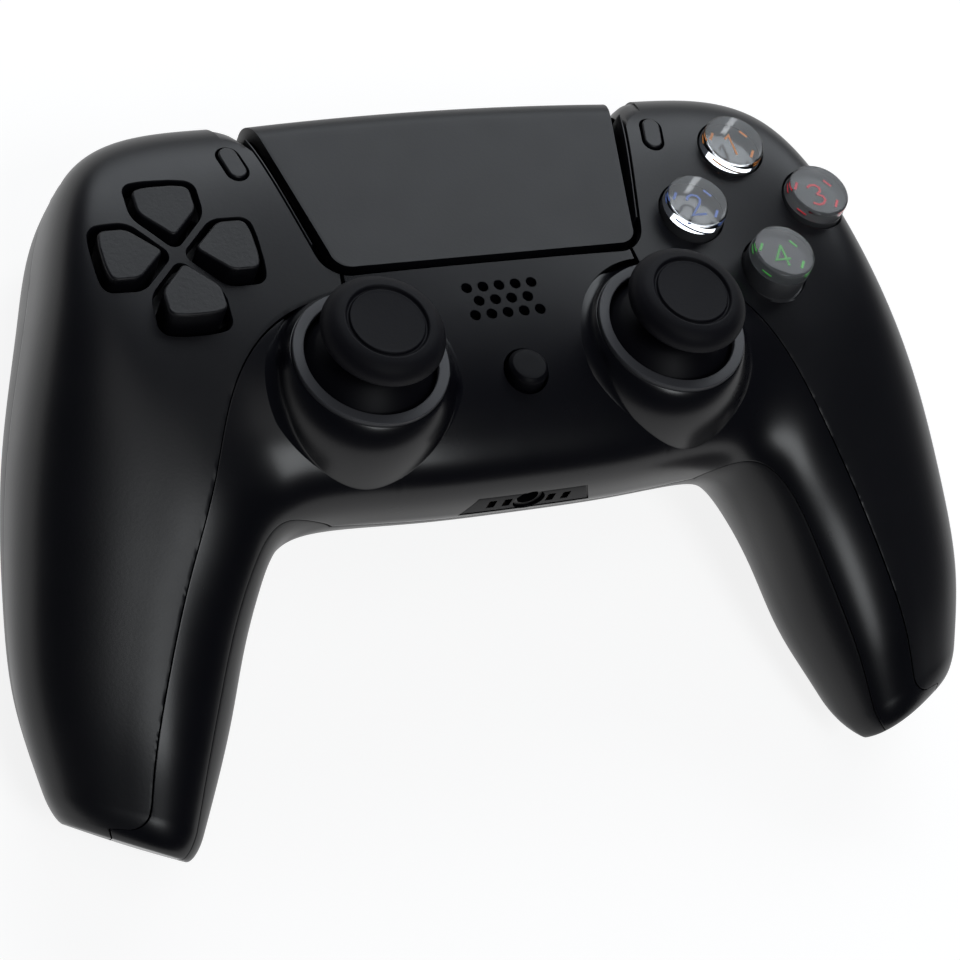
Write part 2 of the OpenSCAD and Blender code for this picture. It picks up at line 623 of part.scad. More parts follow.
module trigger_spring(s) {
    coil_l = 6;
    color([0.7, 0.7, 0.72]) on_table() at_side(s)
        translate([trigger_x + trigger_w / 2 - coil_l / 2, trigger_pivot.x, trigger_pivot.y]) rotate([0, 90, 0])
            difference() {
                cylinder(h = coil_l, r = pin_r + 1.1);
                translate([0, 0, -1]) cylinder(h = coil_l + 2, r = pin_r + 0.2);
            }
}
module trigger_bracket(s) {
    low_y = -5;
    ear_y = 2.8;
    flange_y = 4.5;
    color([0.25, 0.25, 0.27]) on_table() at_side(s) difference() {
        union() {
            translate([ear_in_x - ear_t, low_y, bracket_z - bracket_t])
                cube([ear_out_x - ear_in_x + 2 * ear_t, flange_y - low_y, bracket_t]);
            for (x = [ear_in_x - ear_t, ear_out_x]) translate([x, 0, 0]) across(ear_t) hull() {
                translate([ear_y, bracket_z - bracket_t]) square([flange_y - ear_y, bracket_t]);
                translate([trigger_pivot.x, trigger_pivot.y]) circle(ear_r, $fn = 32);
            }
        }
        translate([ear_in_x - 5, trigger_pivot.x, trigger_pivot.y]) rotate([0, 90, 0])
            cylinder(h = trigger_w + 12, r = pin_r + 0.02);
    }
}
// Room cut in the shells for the bumpers and triggers
module shoulder_room() {
    bumper_in = 36.8;
    bumper_out = 61.3;
    for (s = [-1, 1]) at_side(s) {
        translate([bumper_in, 4, bumper_room_low])
            cube([bumper_out - bumper_in, 30, bumper_room_top - bumper_room_low]);
        translate([trigger_x - shoulder_gap, trigger_back_y, -60])
            cube([trigger_w + 2 * shoulder_gap, 30, 60 + bumper_room_low + 0.1]);
    }
}

// Inside
tray_t = 1.2;
tray_z = -31.5;
post_r = 2.5;
screw_post_r = 3.2;
screw_head_r = 2.2;
screw_head_t = 2;
// Places of the posts on the rear shell, along the body and round the section
SCREW_POSTS = [[1.575, 254.5], [3.2, 312]];
TRAY_POSTS = [[1.05, 253.5], [1.125, 298.5]];
MOTOR_POST = [5.3, 288];
motor_x = 3 + half_w * 0.6;
motor_y = -46;
motor_z = -30;
motor_shaft_r = 1;
function post_foot(place) = skin(place[0], place[1], wall / 2);
module at_posts(places) {
    for (s = [-1, 1]) for (p = places) let (f = post_foot(p)) translate([s * f.x, f.y, f.z]) {
        $foot_z = f.z;
        children();
    }
}
module mid_frame() {
    leg_r = 2.4;
    room_r = POD_FLANK[4].x + 0.6;
    color([0.3, 0.3, 0.32]) on_table() difference() {
        union() {
            translate([0, 0, frame_z - frame_t]) linear_extrude(frame_t) difference() {
                union() {
                    for (s = [-1, 1]) translate([s * cluster_x, cluster_y]) circle(15.5);
                    translate([-cluster_x, -13.5]) square([2 * cluster_x, 18]);
                    translate([-8, -38]) square([16, 26]);
                    for (s = [-1, 1]) {
                        translate([s * post_foot(SCREW_POSTS[1]).x - 3, post_foot(SCREW_POSTS[1]).y - 2.8])
                            square([6, 24]);
                        translate([s * bumper_pin_x - 2.2, 0]) square([4.4, bumper_pin_y + 2]);
                    }
                }
                for (s = [-1, 1]) translate([s * stick_x, stick_y]) circle(room_r);
            }
            for (s = [-1, 1]) for (p = SCREW_POSTS) let (f = post_foot(p))
                translate([s * f.x, f.y, board_z]) cylinder(h = frame_z - frame_t - board_z + 0.1, r = leg_r);
            for (s = [-1, 1]) translate([s * pad_post_x, 0, frame_z - 0.1])
                cylinder(h = pad_board_z - pad_board_t - frame_z + 0.1, r = 2);
            at_cluster(-1) translate([0, 0, frame_z - 0.1])
                cylinder(h = bead_top - bead_t - bead_play - frame_z + 0.1, r = 2);
        }
        for (s = [-1, 1]) {
            for (p = SCREW_POSTS) let (f = post_foot(p))
                translate([s * f.x, f.y, board_z - 1]) cylinder(h = 4, r = screw_r + 0.05);
            translate([s * bumper_pin_x, bumper_pin_y, frame_z - 10]) cylinder(h = 20, r = pin_r + 0.02);
        }
    }
}
// Rubber sheets with the domes under the buttons, drawn as they stand when pressed
sheet_t = 1;
module dome_sheet(s) {
    ring = s > 0 ? button_ring : key_reach - key_w / 2;
    dome_top = s > 0 ? boss_low_z - button_travel - 0.3 : plate_z - plate_t - 1.2;
    color([0.55, 0.56, 0.58]) on_table() at_cluster(s) difference() {
        union() {
            translate([0, 0, frame_z]) cylinder(h = sheet_t, r = 14.5);
            for (p = cluster_places) translate([ring * p.x, ring * p.y, frame_z + sheet_t - 0.1])
                cylinder(h = dome_top - frame_z - sheet_t + 0.1, r1 = 3, r2 = 2.2);
        }
        translate([0, 0, frame_z - 1]) cylinder(h = 10, r = bead_r + 0.6);
    }
}
module main_board() {
    jack_room = 4.2;
    usb_half = 7;
    usb_y = 14;
    color([0.1, 0.35, 0.2]) on_table() translate([0, 0, board_z - board_t]) difference() {
        union() {
            translate([-49, -37, 0]) cube([98, 39, board_t]);
            translate([-usb_half, 0, 0]) cube([2 * usb_half, usb_y, board_t]);
            translate([-34, 0, 0]) cube([68, 5, board_t]);
        }
        translate([-jack_room, -40, -1]) cube([2 * jack_room, 10, 5]);
        for (s = [-1, 1]) for (p = SCREW_POSTS) let (f = post_foot(p))
            translate([s * f.x, f.y, -1]) cylinder(h = 5, r = screw_r + 0.3);
    }
}
module battery_tray() {
    rim_h = 3;
    color([0.2, 0.2, 0.22]) on_table() difference() {
        translate([-battery_l / 2 - 2, -13 - battery_w / 2 - 2, tray_z - tray_t])
            cube([battery_l + 4, battery_w + 4, tray_t + rim_h]);
        translate([-battery_l / 2 - 0.3, -13 - battery_w / 2 - 0.3, tray_z])
            cube([battery_l + 0.6, battery_w + 0.6, 10]);
    }
}
module battery() {
    color([0.55, 0.6, 0.7]) on_table() translate([-battery_l / 2, -13 - battery_w / 2, tray_z])
        cube([battery_l, battery_w, battery_t]);
}
module motor(s) {
    color([0.7, 0.7, 0.72]) on_table() at_side(s) translate([motor_x, motor_y, motor_z]) rotate([0, 90, 0]) {
        cylinder(h = motor_l, r = motor_r);
        cylinder(h = motor_l + 6, r = motor_shaft_r);
    }
}
module motor_weight(s) {
    weight_r = 6.2;
    color([0.5, 0.45, 0.35]) on_table() at_side(s)
        translate([motor_x + motor_l + 0.8, motor_y, motor_z]) rotate([0, 90, 0]) difference() {
            union() {
                cylinder(h = 4.4, r = 2.6);
                intersection() {
                    cylinder(h = 4.4, r = weight_r);
                    translate([0, -weight_r, 0]) cube([weight_r, 2 * weight_r, 4.4]);
                }
            }
            translate([0, 0, -1]) cylinder(h = 8, r = motor_shaft_r + pin_play);
        }
}
jack_z = -16.8;
jack_y = -47.4;
jack_body_r = 2.4;
module headset_jack() {
    color([0.08, 0.08, 0.09]) on_table() translate([0, jack_y, jack_z]) difference() {
        union() {
            rotate([-90, 0, 0]) cylinder(h = 8, r = jack_body_r);
            translate([-4, 7, -3.2]) cube([8, jack_l - 6, 6.4]);
        }
        translate([0, -1, 0]) rotate([-90, 0, 0]) cylinder(h = jack_l + 1, r = jack_r);
    }
}
usb_w = 9;
usb_h = 3.2;
module usb_port() {
    depth = 7.4;
    shell_t = 0.35;
    tongue = [6.7, 0.7];
    usb_end = 16.6;
    color([0.7, 0.7, 0.72]) on_table() translate([-usb_w / 2, usb_end - depth, board_z]) {
        difference() {
            cube([usb_w, depth, usb_h]);
            translate([shell_t, 1, shell_t]) cube([usb_w - 2 * shell_t, depth, usb_h - 2 * shell_t]);
        }
        translate([(usb_w - tongue.x) / 2, 0.5, (usb_h - tongue.y) / 2])
            cube([tongue.x, depth - 1.5, tongue.y]);
    }
}
contact_w = 1;
contact_h = 1.8;
contact_x = [-6.3, -3.7, 3.7, 6.3];
module charge_contacts() {
    color([0.75, 0.65, 0.4]) on_table() for (x = contact_x)
        translate([x - contact_w / 2, jack_y + 0.3, jack_z - contact_h / 2]) cube([contact_w, 4, contact_h]);
}
module bottom_holes() {
    translate([0, jack_y - 8, jack_z]) rotate([-90, 0, 0]) cylinder(h = 20, r = jack_body_r + 0.2);
    for (x = contact_x) translate([x - contact_w / 2 - 0.15, jack_y - 8, jack_z - contact_h / 2 - 0.15])
        cube([contact_w + 0.3, 16, contact_h + 0.3]);
}
module case_screws() {
    color("dimgray") on_table() at_posts(SCREW_POSTS) {
        translate([0, 0, 0.3]) cylinder(h = screw_head_t, r = screw_head_r);
        translate([0, 0, screw_head_t]) cylinder(h = board_z + 2.6 - $foot_z - screw_head_t, r = screw_r);
    }
}

// Covers
module front_shell() {
    ledge_in = trim_t + seam_gap;
    function row(u, more) = concat(
        section(u, upper_seam(u) - ledge_a, upper_seam(u) + gap_angle(u, more), ledge_steps, ledge_in + more),
        section(u, upper_seam(u) + gap_angle(u, more), 180, wing_steps, more));
    color([0.16, 0.17, 0.18]) on_table() difference() {
        sheet([for (u = PLACES) row(u, 0)], [for (u = PLACES) row(u, wall)]);
        touchpad_opening();
        shoulder_room();
        key_holes();
        button_holes();
        menu_holes();
        speaker_window();
        for (s = [-1, 1]) at_stick(s) pod_room();
    }
}
module centre_trim() {
    function low(u) = lower_seam(u) + gap_angle(u, seam_gap);
    function high(u) = upper_seam(u) - gap_angle(u, seam_gap);
    color([0.08, 0.08, 0.09]) on_table() difference() {
        union() {
            difference() {
                sheet([for (u = PLACES) section(u, low(u), high(u), trim_steps, 0)],
                    [for (u = PLACES) section(u, low(u), high(u), trim_steps, trim_t)]);
                for (s = [-1, 1]) at_stick(s) translate([0, 0, -30]) cylinder(h = 60, r = bowl_r + 0.4);
            }
            for (s = [-1, 1]) at_stick(s) pod();
        }
        speaker_holes();
        translate([0, home_y, -20]) cylinder(h = 40, d = home_d + 2 * button_gap);
        bottom_holes();
    }
}
module rear_shell() {
    color([0.12, 0.12, 0.13]) on_table() difference() {
        union() {
            sheet([for (u = PLACES) back_section(u, 0)], [for (u = PLACES) back_section(u, wall)]);
            at_posts(SCREW_POSTS) cylinder(h = board_z - board_t - $foot_z, r = screw_post_r);
            at_posts(TRAY_POSTS) cylinder(h = tray_z - tray_t - $foot_z, r = post_r);
            difference() {
                at_posts([MOTOR_POST]) cylinder(h = motor_z - $foot_z, r = 4);
                for (s = [-1, 1]) at_side(s) translate([motor_x - 5, motor_y, motor_z]) rotate([0, 90, 0])
                    cylinder(h = motor_l + 10, r = motor_r + 0.1);
            }
        }
        at_posts(SCREW_POSTS) {
            translate([0, 0, -10]) cylinder(h = 10 + 0.3 + screw_head_t, r = screw_head_r + 0.2);
            cylinder(h = 40, r = screw_r + 0.1);
        }
        shoulder_room();
        translate([-usb_w / 2 - 0.5, 12, board_z - 0.5]) cube([usb_w + 1, 12, usb_h + 1]);
        bottom_holes();
    }
}

front_shell();
centre_trim();
rear_shell();
touchpad();
touchpad_board();
light_guide(-1);  // left_light_guide
light_guide(1);  // right_light_guide
stick_ring(-1);  // left_stick_ring
stick_ring(1);  // right_stick_ring
dpad();
dpad_pivot();
round_button(0);  // top_button
round_button(1);  // left_button
round_button(2);  // right_button
round_button(3);  // bottom_button
menu_button(-1);  // left_menu_button
menu_button(1);  // right_menu_button
home_button();
stick_cap(-1);  // left_stick_cap
stick_cap(1);  // right_stick_cap
stick_stem(-1);  // left_stick_stem
stick_stem(1);  // right_stick_stem
stick_gimbal(-1);  // left_stick_gimbal
stick_gimbal(1);  // right_stick_gimbal
stick_carrier(-1);  // left_stick_carrier
stick_carrier(1);  // right_stick_carrier
stick_housing(-1);  // left_stick_housing
stick_housing(1);  // right_stick_housing
bumper(-1);  // left_bumper
bumper(1);  // right_bumper
bumper_pin(-1);  // left_bumper_pin
bumper_pin(1);  // right_bumper_pin
trigger(-1);  // left_trigger
trigger(1);  // right_trigger
trigger_pin(-1);  // left_trigger_pin
trigger_pin(1);  // right_trigger_pin
trigger_spring(-1);  // left_trigger_spring
trigger_spring(1);  // right_trigger_spring
trigger_bracket(-1);  // left_trigger_bracket
trigger_bracket(1);  // right_trigger_bracket
mid_frame();
dome_sheet(-1);  // left_dome_sheet
dome_sheet(1);  // right_dome_sheet
main_board();
battery();
battery_tray();
motor(-1);  // left_motor
motor(1);  // right_motor
motor_weight(-1);  // left_motor_weight
motor_weight(1);  // right_motor_weight
speaker();
headset_jack();
usb_port();
charge_contacts();
case_screws();
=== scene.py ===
# Looks of a two-stick game controller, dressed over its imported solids.
# Shapes are drawn in millimetres on the controller's face: X to the right, Y up the face towards the
# shoulders, Z out of the face, with the origin at the middle of the touchpad. TABLE then lays each
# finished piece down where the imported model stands.
import json
import math
import bmesh
import bpy
import numpy as np
from mathutils import Matrix, Vector


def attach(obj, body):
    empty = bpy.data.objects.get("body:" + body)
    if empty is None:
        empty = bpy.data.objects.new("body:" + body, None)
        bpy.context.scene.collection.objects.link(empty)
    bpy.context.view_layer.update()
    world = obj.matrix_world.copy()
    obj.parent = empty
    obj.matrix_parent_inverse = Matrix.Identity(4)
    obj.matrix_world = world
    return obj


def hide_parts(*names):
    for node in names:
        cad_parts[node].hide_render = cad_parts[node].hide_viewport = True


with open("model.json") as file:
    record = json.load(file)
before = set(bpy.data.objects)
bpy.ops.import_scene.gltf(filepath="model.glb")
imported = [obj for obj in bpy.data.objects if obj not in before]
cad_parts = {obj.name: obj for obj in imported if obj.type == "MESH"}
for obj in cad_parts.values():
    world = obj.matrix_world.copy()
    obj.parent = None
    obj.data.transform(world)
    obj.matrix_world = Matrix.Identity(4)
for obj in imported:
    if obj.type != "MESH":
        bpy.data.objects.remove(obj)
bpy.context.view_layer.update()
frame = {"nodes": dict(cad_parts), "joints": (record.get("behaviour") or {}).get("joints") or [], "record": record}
nodes = frame["nodes"]
scene = bpy.context.scene

# Where the face lies on the table, from a button's axis and the centre of the right stick
joints = {j["name"]: j for j in frame["joints"]}
STICK = (25.3, -30.2, -10.0)
face_out = -Vector(joints["top_button_press"]["axis"])
face_right = Vector((1, 0, 0))
face_up = face_out.cross(face_right)
TURN = Matrix((face_right, face_up, face_out)).transposed()
START = Vector(joints["right_stick_tilt_up"]["pos_m"]) - TURN @ (Vector(STICK) * 0.001)
TABLE = Matrix.Translation(START) @ TURN.to_4x4() @ Matrix.Scale(0.001, 4)

SIDES = ((-1, "left"), (1, "right"))
# Covers: walls, seam, rounded edges
WALL, TRIM_T, SEAM = 2.0, 1.8, 0.25
WALL_EDGE, TRIM_EDGE = 0.28, 0.25
# How far the trim reaches up to the touchpad, and the rows along the body where that ends
TRIM_REACH, REACH_END, REACH_RUN = 1.6, 1.45, 0.3
# Ends of the grips: rounding, length, lean below and above the middle, rows over which the lean sets in
TIP_R, TIP_L = 1.6, 4.5
TIP_SLOPE, TIP_LEAN, TIP_ROWS = 0.6, 0.12, 2
# Rounded end of a wing, and how far before the grip's end it starts
WING_END_R, WING_END_START = 4.4, 1.4
# Length of the body per control row, in the middle and at a grip's end
ROW_MIDDLE, ROW_END = 16.9, 8.3
# Highest place on the face that counts for its height
FACE_TOP = 15.8
# Round buttons and direction keys
CLUSTER = (49.2, -8.4)
KEYS = (-CLUSTER[0], CLUSTER[1])
QUARTERS = (0, 90, 180, 270)
BUTTONS = {"top": (0, 1), "left": (-1, 0), "right": (1, 0), "bottom": (0, -1)}
BUTTON_RING, BUTTON_R, BUTTON_GAP, BUTTON_TOP = 11.35, 5.2, 0.35, 2.6
MARK_W, MARK_LOW, MARK_TOP, MARK_EDGE = 0.42, 0.2, 0.3, 0.03
TICK_RING, TICK_TURNS = 3.6, (-35, 35, 145, 215)
KEY_GAP, KEY_TOP, KEY_LOW = 1.15, 0.95, -5.6
KEY_PLATE_R, KEY_PLATE_LOW = 11.4, -7.2
# Home and menu buttons
HOME_Y, HOME_R, HOME_TOP = -33.5, 3.2, -1.2
MENU, MENU_L, MENU_W, MENU_TURN = (36.3, 7.2), 6.0, 3.0, -12.85
MENU_TOP, MENU_STEP, MENU_LOW, MENU_FLANGE = 0.5, -4.8, -5.8, 1.6
# Touchpad and its light guides
PAD_LOW, PAD_ROLL, PAD_ROLL_R, PAD_T = -13.6, 12.6, 5.0, 2.2
PAD_HALF, PAD_SLOPE, PAD_BOW_R = 25.2, 6.2 / 27.2, 493.0
PAD_CORNER, PAD_NARROW, PAD_NARROW_RUN = 3.0, 0.9, 28
PAD_GAP, OPENING_CORNER = 0.9, 4.0
LIGHT_W, LIGHT_START, LIGHT_END, LIGHT_FOOT = 0.5, PAD_LOW + 5.2, PAD_ROLL - 0.4, -3.8
# Speaker holes, headset socket and charge contacts
SPEAKER_Y, SPEAKER_ROWS, SPEAKER_STEP, SPEAKER_R = -21.1, (5, 4, 5), (2.75, 2.4), 0.85
JACK, JACK_R = (-47.4, -16.8), 2.6
CONTACTS, CONTACT_HALF = (-6.3, -3.7, 3.7, 6.3), (0.65, 1.05)
# Stick bowls: inside, mouth, rim, spread and fall of the bell round them, room for its fillet
BOWL_R, BOWL_MOUTH, BOWL_FOOT = 13.8, 9.15, -12.0
RIM_R, RIM_Z = 12.0, 0.5
BELL_SPREAD, BELL_FALL, BELL_FOOT_R = 3.7, 4.2, 15.7
FILLET, FILLET_LEAST = 2.4, 0.2
# Sticks
CAP_LOW, STEM_R, SOCKET_R, SOCKET_H = 5.8, 4.6, 6.0, 1.6
DOME_R, DOME_IN_R, DOME_EDGE = 13.4, 12.2, 66
AXLE_R, AXLE_HALF = 0.7, 4.4
# Bumpers: rows along the body, angles round it, depth; lug on the pin
BUMPER_ROWS, BUMPER_ANGLES, BUMPER_SINK, BUMPER_DEPTH = (1.88, 3.06), (172.3, 181.6), 0.1, 5.0
LUG_R, LUG_PLACE, LUG_Z = 2.2, (39.5, 10.8), (-11.1, -8.6)
# Triggers: inner side, width, rounded sides, softness of the crease, cut-off of the lower outer corner
TRIGGER_X, TRIGGER_W, TRIGGER_EDGE, TRIGGER_SOFT = 39.4, 19.2, 1.6, 0.6
TRIGGER_FLOOR, FLOOR_START, FLOOR_RISE = -34.6, 7, 1.025

# Control rows of the body's right half: inner edge, outer edge, lean, height over and depth under the
# line between the edges, squareness of the four quarters, angles of the trim's upper and lower seams
INNER, OUTER = slice(0, 3), slice(3, 6)
LEAN, RISE, DEPTH, SQUARE, UPPER, LOWER = 6, 7, 8, 9, 13, 14
BODY_ROWS = np.array([
    [0, -48, -18.6, 0, 17.8, -13, 0, 15, 26, 3.2, 5, 1.6, 3, 90, -7],
    [17, -48, -18.6, 19, 17.8, -13, 0, 15, 26, 3.2, 5, 1.6, 3, 90, -7],
    [33, -45.7, -20, 41, 19.8, -14, 0, 15.5, 26, 3, 4.5, 1.6, 3, 89, -4],
    [39.4, -45.9, -24, 62, 17.8, -13, 6, 17, 24.5, 2.8, 4, 1.8, 2.8, 75, 22],
    [43.4, -51, -30, 69, -6, -12.5, 14, 17.5, 21, 2.6, 3.4, 2, 2.6, 74, 40],
    [46.4, -57.8, -35, 76.5, -26, -20.5, 22, 15.5, 17, 2.5, 3, 2, 2.5, 76, 43],
    [48.7, -66, -38.5, 79.3, -44, -31, 29, 14, 15.5, 2.4, 2.8, 2, 2.4, 77, 42],
    [52.5, -74.5, -41.5, 80.3, -58.5, -38.5, 33, 12, 13.5, 2.4, 2.8, 2, 2.4, 77, 38],
    [55.9, -81.4, -44.5, 77.7, -70.6, -44, 34, 9, 11, 2.4, 2.8, 2, 2.4, 78, 32]])
LAST = len(BODY_ROWS) - 1
across_middle = BODY_ROWS[1] * np.where(np.isin(np.arange(BODY_ROWS.shape[1]), (0, 3)), -1, 1)
past_end = 2 * BODY_ROWS[-1] - BODY_ROWS[-2]
CONTROL = np.vstack([across_middle, BODY_ROWS, past_end, past_end])


def unit(v):
    return v / np.linalg.norm(v, axis=-1, keepdims=True)


def body_row(u):
    """Values of the control rows at place u along the body, on a cubic B-spline."""
    w = np.minimum(np.abs(u), LAST)
    i = np.floor(w).astype(int)
    t = (w - i)[..., None]
    return (CONTROL[i] * (1 - t) ** 3 + CONTROL[i + 1] * (3 * t ** 3 - 6 * t ** 2 + 4)
            + CONTROL[i + 2] * (-3 * t ** 3 + 3 * t ** 2 + 3 * t + 1) + CONTROL[i + 3] * t ** 3) / 6


# Directions in which the edges leave the grip's end, and how fast its height and depth fall there
grip_end, near_end = body_row(np.array(float(LAST))), body_row(np.array(LAST - 0.25))
RUN_IN = unit(grip_end[INNER] - near_end[INNER])
RUN_OUT = unit(grip_end[OUTER] - near_end[OUTER])
END_FALL = ((near_end[[RISE, DEPTH]] - grip_end[[RISE, DEPTH]])
            / np.linalg.norm(grip_end[OUTER] - near_end[OUTER]))


def squareness(rows, c, s):
    return np.where(s >= 0, np.where(c < 0, rows[..., SQUARE], rows[..., SQUARE + 1]),
                    np.where(c < 0, rows[..., SQUARE + 2], rows[..., SQUARE + 3]))


def skin(u, angle, inset=0.0):
    """Points of the body's surface at place u along the body and an angle round its section."""
    u, angle = np.broadcast_arrays(np.asarray(u, float), np.asarray(angle, float))
    r = body_row(u)
    past = np.clip(np.abs(u) - LAST, 0, None)
    bend = np.minimum(past, 1) * math.pi / 2
    inner, outer = r[..., INNER], r[..., OUTER]
    length = np.linalg.norm(outer - inner, axis=-1)
    along = (outer - inner) / length[..., None]
    tilt = np.radians(r[..., LEAN])
    lean = np.stack([0 * tilt, -np.sin(tilt), np.cos(tilt)], -1)
    up = unit(lean - along * (lean * along).sum(-1, keepdims=True))
    sink = inset + (TIP_R - inset) * (1 - np.cos(bend))
    c, s = -np.cos(angle), np.sin(angle)
    e = squareness(r, c, s)
    reach = (np.abs(c) ** e + np.abs(s) ** e) ** (-1 / e)
    share = c * reach
    x = share * (length / 2 - sink)
    fall = np.where(s >= 0, END_FALL[0], END_FALL[1]) * TIP_L * np.sin(bend)
    z = s * reach * (np.where(s >= 0, r[..., RISE], r[..., DEPTH]) - sink - fall) * (past <= 1)
    ahead = unit(RUN_IN * (1 - share)[..., None] + RUN_OUT * (1 + share)[..., None])
    fade = np.clip((np.minimum(np.abs(u), LAST) - LAST + TIP_ROWS) / TIP_ROWS, 0, 1)
    drop = np.where(z < 0, -z * TIP_SLOPE, z * TIP_LEAN)
    run = (TIP_L - inset) * np.sin(bend) - drop * fade ** 2 * (3 - 2 * fade)
    p = ((inner + outer) / 2 + ahead * run[..., None]
         + along * x[..., None] + up * z[..., None])
    p[..., 0] *= np.where(u < 0, -1, 1)
    return p


def seam_angle(u, degrees):
    """The drawing's seam angle as an angle round the section."""
    u = np.asarray(u, float)
    a = np.radians(degrees) + 0 * u
    r = body_row(u)
    c, s = -np.cos(a), np.sin(a)
    e = squareness(r, c, s)
    angle = np.arctan2(np.sign(s) * np.abs(s) ** (2 / e), -np.sign(c) * np.abs(c) ** (2 / e))
    return angle + np.where(a > math.pi + 1e-9, 2 * math.pi, 0)


def gap_degrees(u, gap):
    """A gap in millimetres as a seam angle."""
    r = body_row(np.asarray(u, float))
    return gap / np.linalg.norm(r[..., OUTER] - r[..., INNER], axis=-1) * 360 / math.pi


def upper_seam(u, gap=0.0):
    """Angle of the seam between trim and wing, which rounds off the wing at the grip's end."""
    past = np.abs(u) - LAST
    end = np.where(past < 0, past * ROW_END, TIP_L * np.sin(np.clip(past, 0, 1) * math.pi / 2))
    turn = np.clip((end + WING_END_START) / WING_END_R, 0, 1)
    gap = gap + WING_END_R * (1 - np.sqrt(1 - turn ** 2))
    return seam_angle(u, body_row(np.asarray(u, float))[..., UPPER] + gap_degrees(u, gap))


def lower_seam(u, gap=0.0, turns=0):
    """Angle of the seam between back and trim."""
    degrees = body_row(np.asarray(u, float))[..., LOWER] + gap_degrees(u, gap) + 360 * turns
    return seam_angle(u, degrees)


# A coarse chart of the face, for finding the surface's height over a point
chart_u, chart_a = np.meshgrid(np.linspace(0, 7.5, 91), np.radians(np.linspace(6, 172, 84)))
chart_p = skin(chart_u, chart_a)


def skin_height(x, y):
    """Height of the body's surface over points of the face, found in steps from the chart."""
    x, y = np.abs(np.asarray(x, float)), np.minimum(np.asarray(y, float), FACE_TOP)
    shape, goal = x.shape, np.stack([x.ravel(), y.ravel()], -1)
    flat = chart_p[..., :2].reshape(-1, 2)
    near = np.concatenate([((flat[None] - part[:, None]) ** 2).sum(-1).argmin(1)
                           for part in np.array_split(goal, max(1, len(goal) // 200))])
    u, a = chart_u.ravel()[near].copy(), chart_a.ravel()[near].copy()
    step = 1e-4
    for _ in range(9):
        p = skin(u, a)
        du = (skin(u + step, a) - p)[:, :2] / step
        da = (skin(u, a + step) - p)[:, :2] / step
        miss = goal - p[:, :2]
        det = du[:, 0] * da[:, 1] - du[:, 1] * da[:, 0]
        det = np.where(np.abs(det) < 1e-6, 1e-6, det)
        move_u = (miss[:, 0] * da[:, 1] - miss[:, 1] * da[:, 0]) / det
        move_a = (du[:, 0] * miss[:, 1] - du[:, 1] * miss[:, 0]) / det
        u = np.clip(u + np.clip(move_u, -0.3, 0.3), 0, LAST - 0.1)
        a = np.clip(a + np.clip(move_a, -0.2, 0.2), 0.02, 3.1)
    return skin(u, a)[:, 2].reshape(shape)


# Finishes
def shader(name):
    finish = bpy.data.materials.new(name)
    finish.use_nodes = True
    tree = finish.node_tree
    surface = tree.nodes["Principled BSDF"]
    place = tree.nodes.new("ShaderNodeTexCoord").outputs["Object"]
    return finish, tree, surface, place


def noise(tree, place, scale, detail=2.0, roughness=0.5):
    n = tree.nodes.new("ShaderNodeTexNoise")
    n.inputs["Scale"].default_value = scale
    n.inputs["Detail"].default_value = detail
    n.inputs["Roughness"].default_value = roughness
    tree.links.new(place, n.inputs["Vector"])
    return n.outputs["Fac"]


def spread(tree, value, low, high, socket):
    n = tree.nodes.new("ShaderNodeMapRange")
    n.inputs["From Min"].default_value = 0.3
    n.inputs["From Max"].default_value = 0.7
    n.inputs["To Min"].default_value = low
    n.inputs["To Max"].default_value = high
    tree.links.new(value, n.inputs["Value"])
    tree.links.new(n.outputs["Result"], socket)


def tinted(tree, value, dark, light, socket):
    n = tree.nodes.new("ShaderNodeValToRGB")
    n.color_ramp.elements[0].position = 0.3
    n.color_ramp.elements[1].position = 0.7
    n.color_ramp.elements[0].color = (*dark, 1)
    n.color_ramp.elements[1].color = (*light, 1)
    tree.links.new(value, n.inputs["Fac"])
    tree.links.new(n.outputs["Color"], socket)


def embossed(tree, value, depth, surface, strength=1.0):
    n = tree.nodes.new("ShaderNodeBump")
    n.inputs["Strength"].default_value = strength
    n.inputs["Distance"].default_value = depth
    tree.links.new(value, n.inputs["Height"])
    tree.links.new(n.outputs["Normal"], surface.inputs["Normal"])


def moulded(name, tint, rough, grain=1600.0, depth=0.000012, ior=1.45, metal=0.0):
    """Moulded material: spark-eroded grain, slight drift of colour, gloss that handling has varied."""
    finish, tree, surface, place = shader(name)
    surface.inputs["Metallic"].default_value = metal
    surface.inputs["IOR"].default_value = ior
    tint, drift = np.array(tint), 0.12
    tinted(tree, noise(tree, place, 55.0, 3.0), tuple(tint * (1 - drift)), tuple(tint * (1 + drift)),
           surface.inputs["Base Color"])
    spread(tree, noise(tree, place, 130.0, 4.0), rough - 0.01, rough + 0.015, surface.inputs["Roughness"])
    embossed(tree, noise(tree, place, grain, 3.0, 0.6), depth, surface)
    return finish


def clear(name, tint, rough, ior):
    """Clear plastic with a faint swirl in its polish."""
    finish, tree, surface, place = shader(name)
    surface.inputs["Transmission Weight"].default_value = 1.0
    surface.inputs["IOR"].default_value = ior
    tint = np.array(tint)
    tinted(tree, noise(tree, place, 90.0), tuple(tint * 0.97), tuple(tint), surface.inputs["Base Color"])
    spread(tree, noise(tree, place, 240.0, 3.0), rough, rough + 0.03, surface.inputs["Roughness"])
    embossed(tree, noise(tree, place, 300.0), 0.000003, surface, 0.4)
    return finish


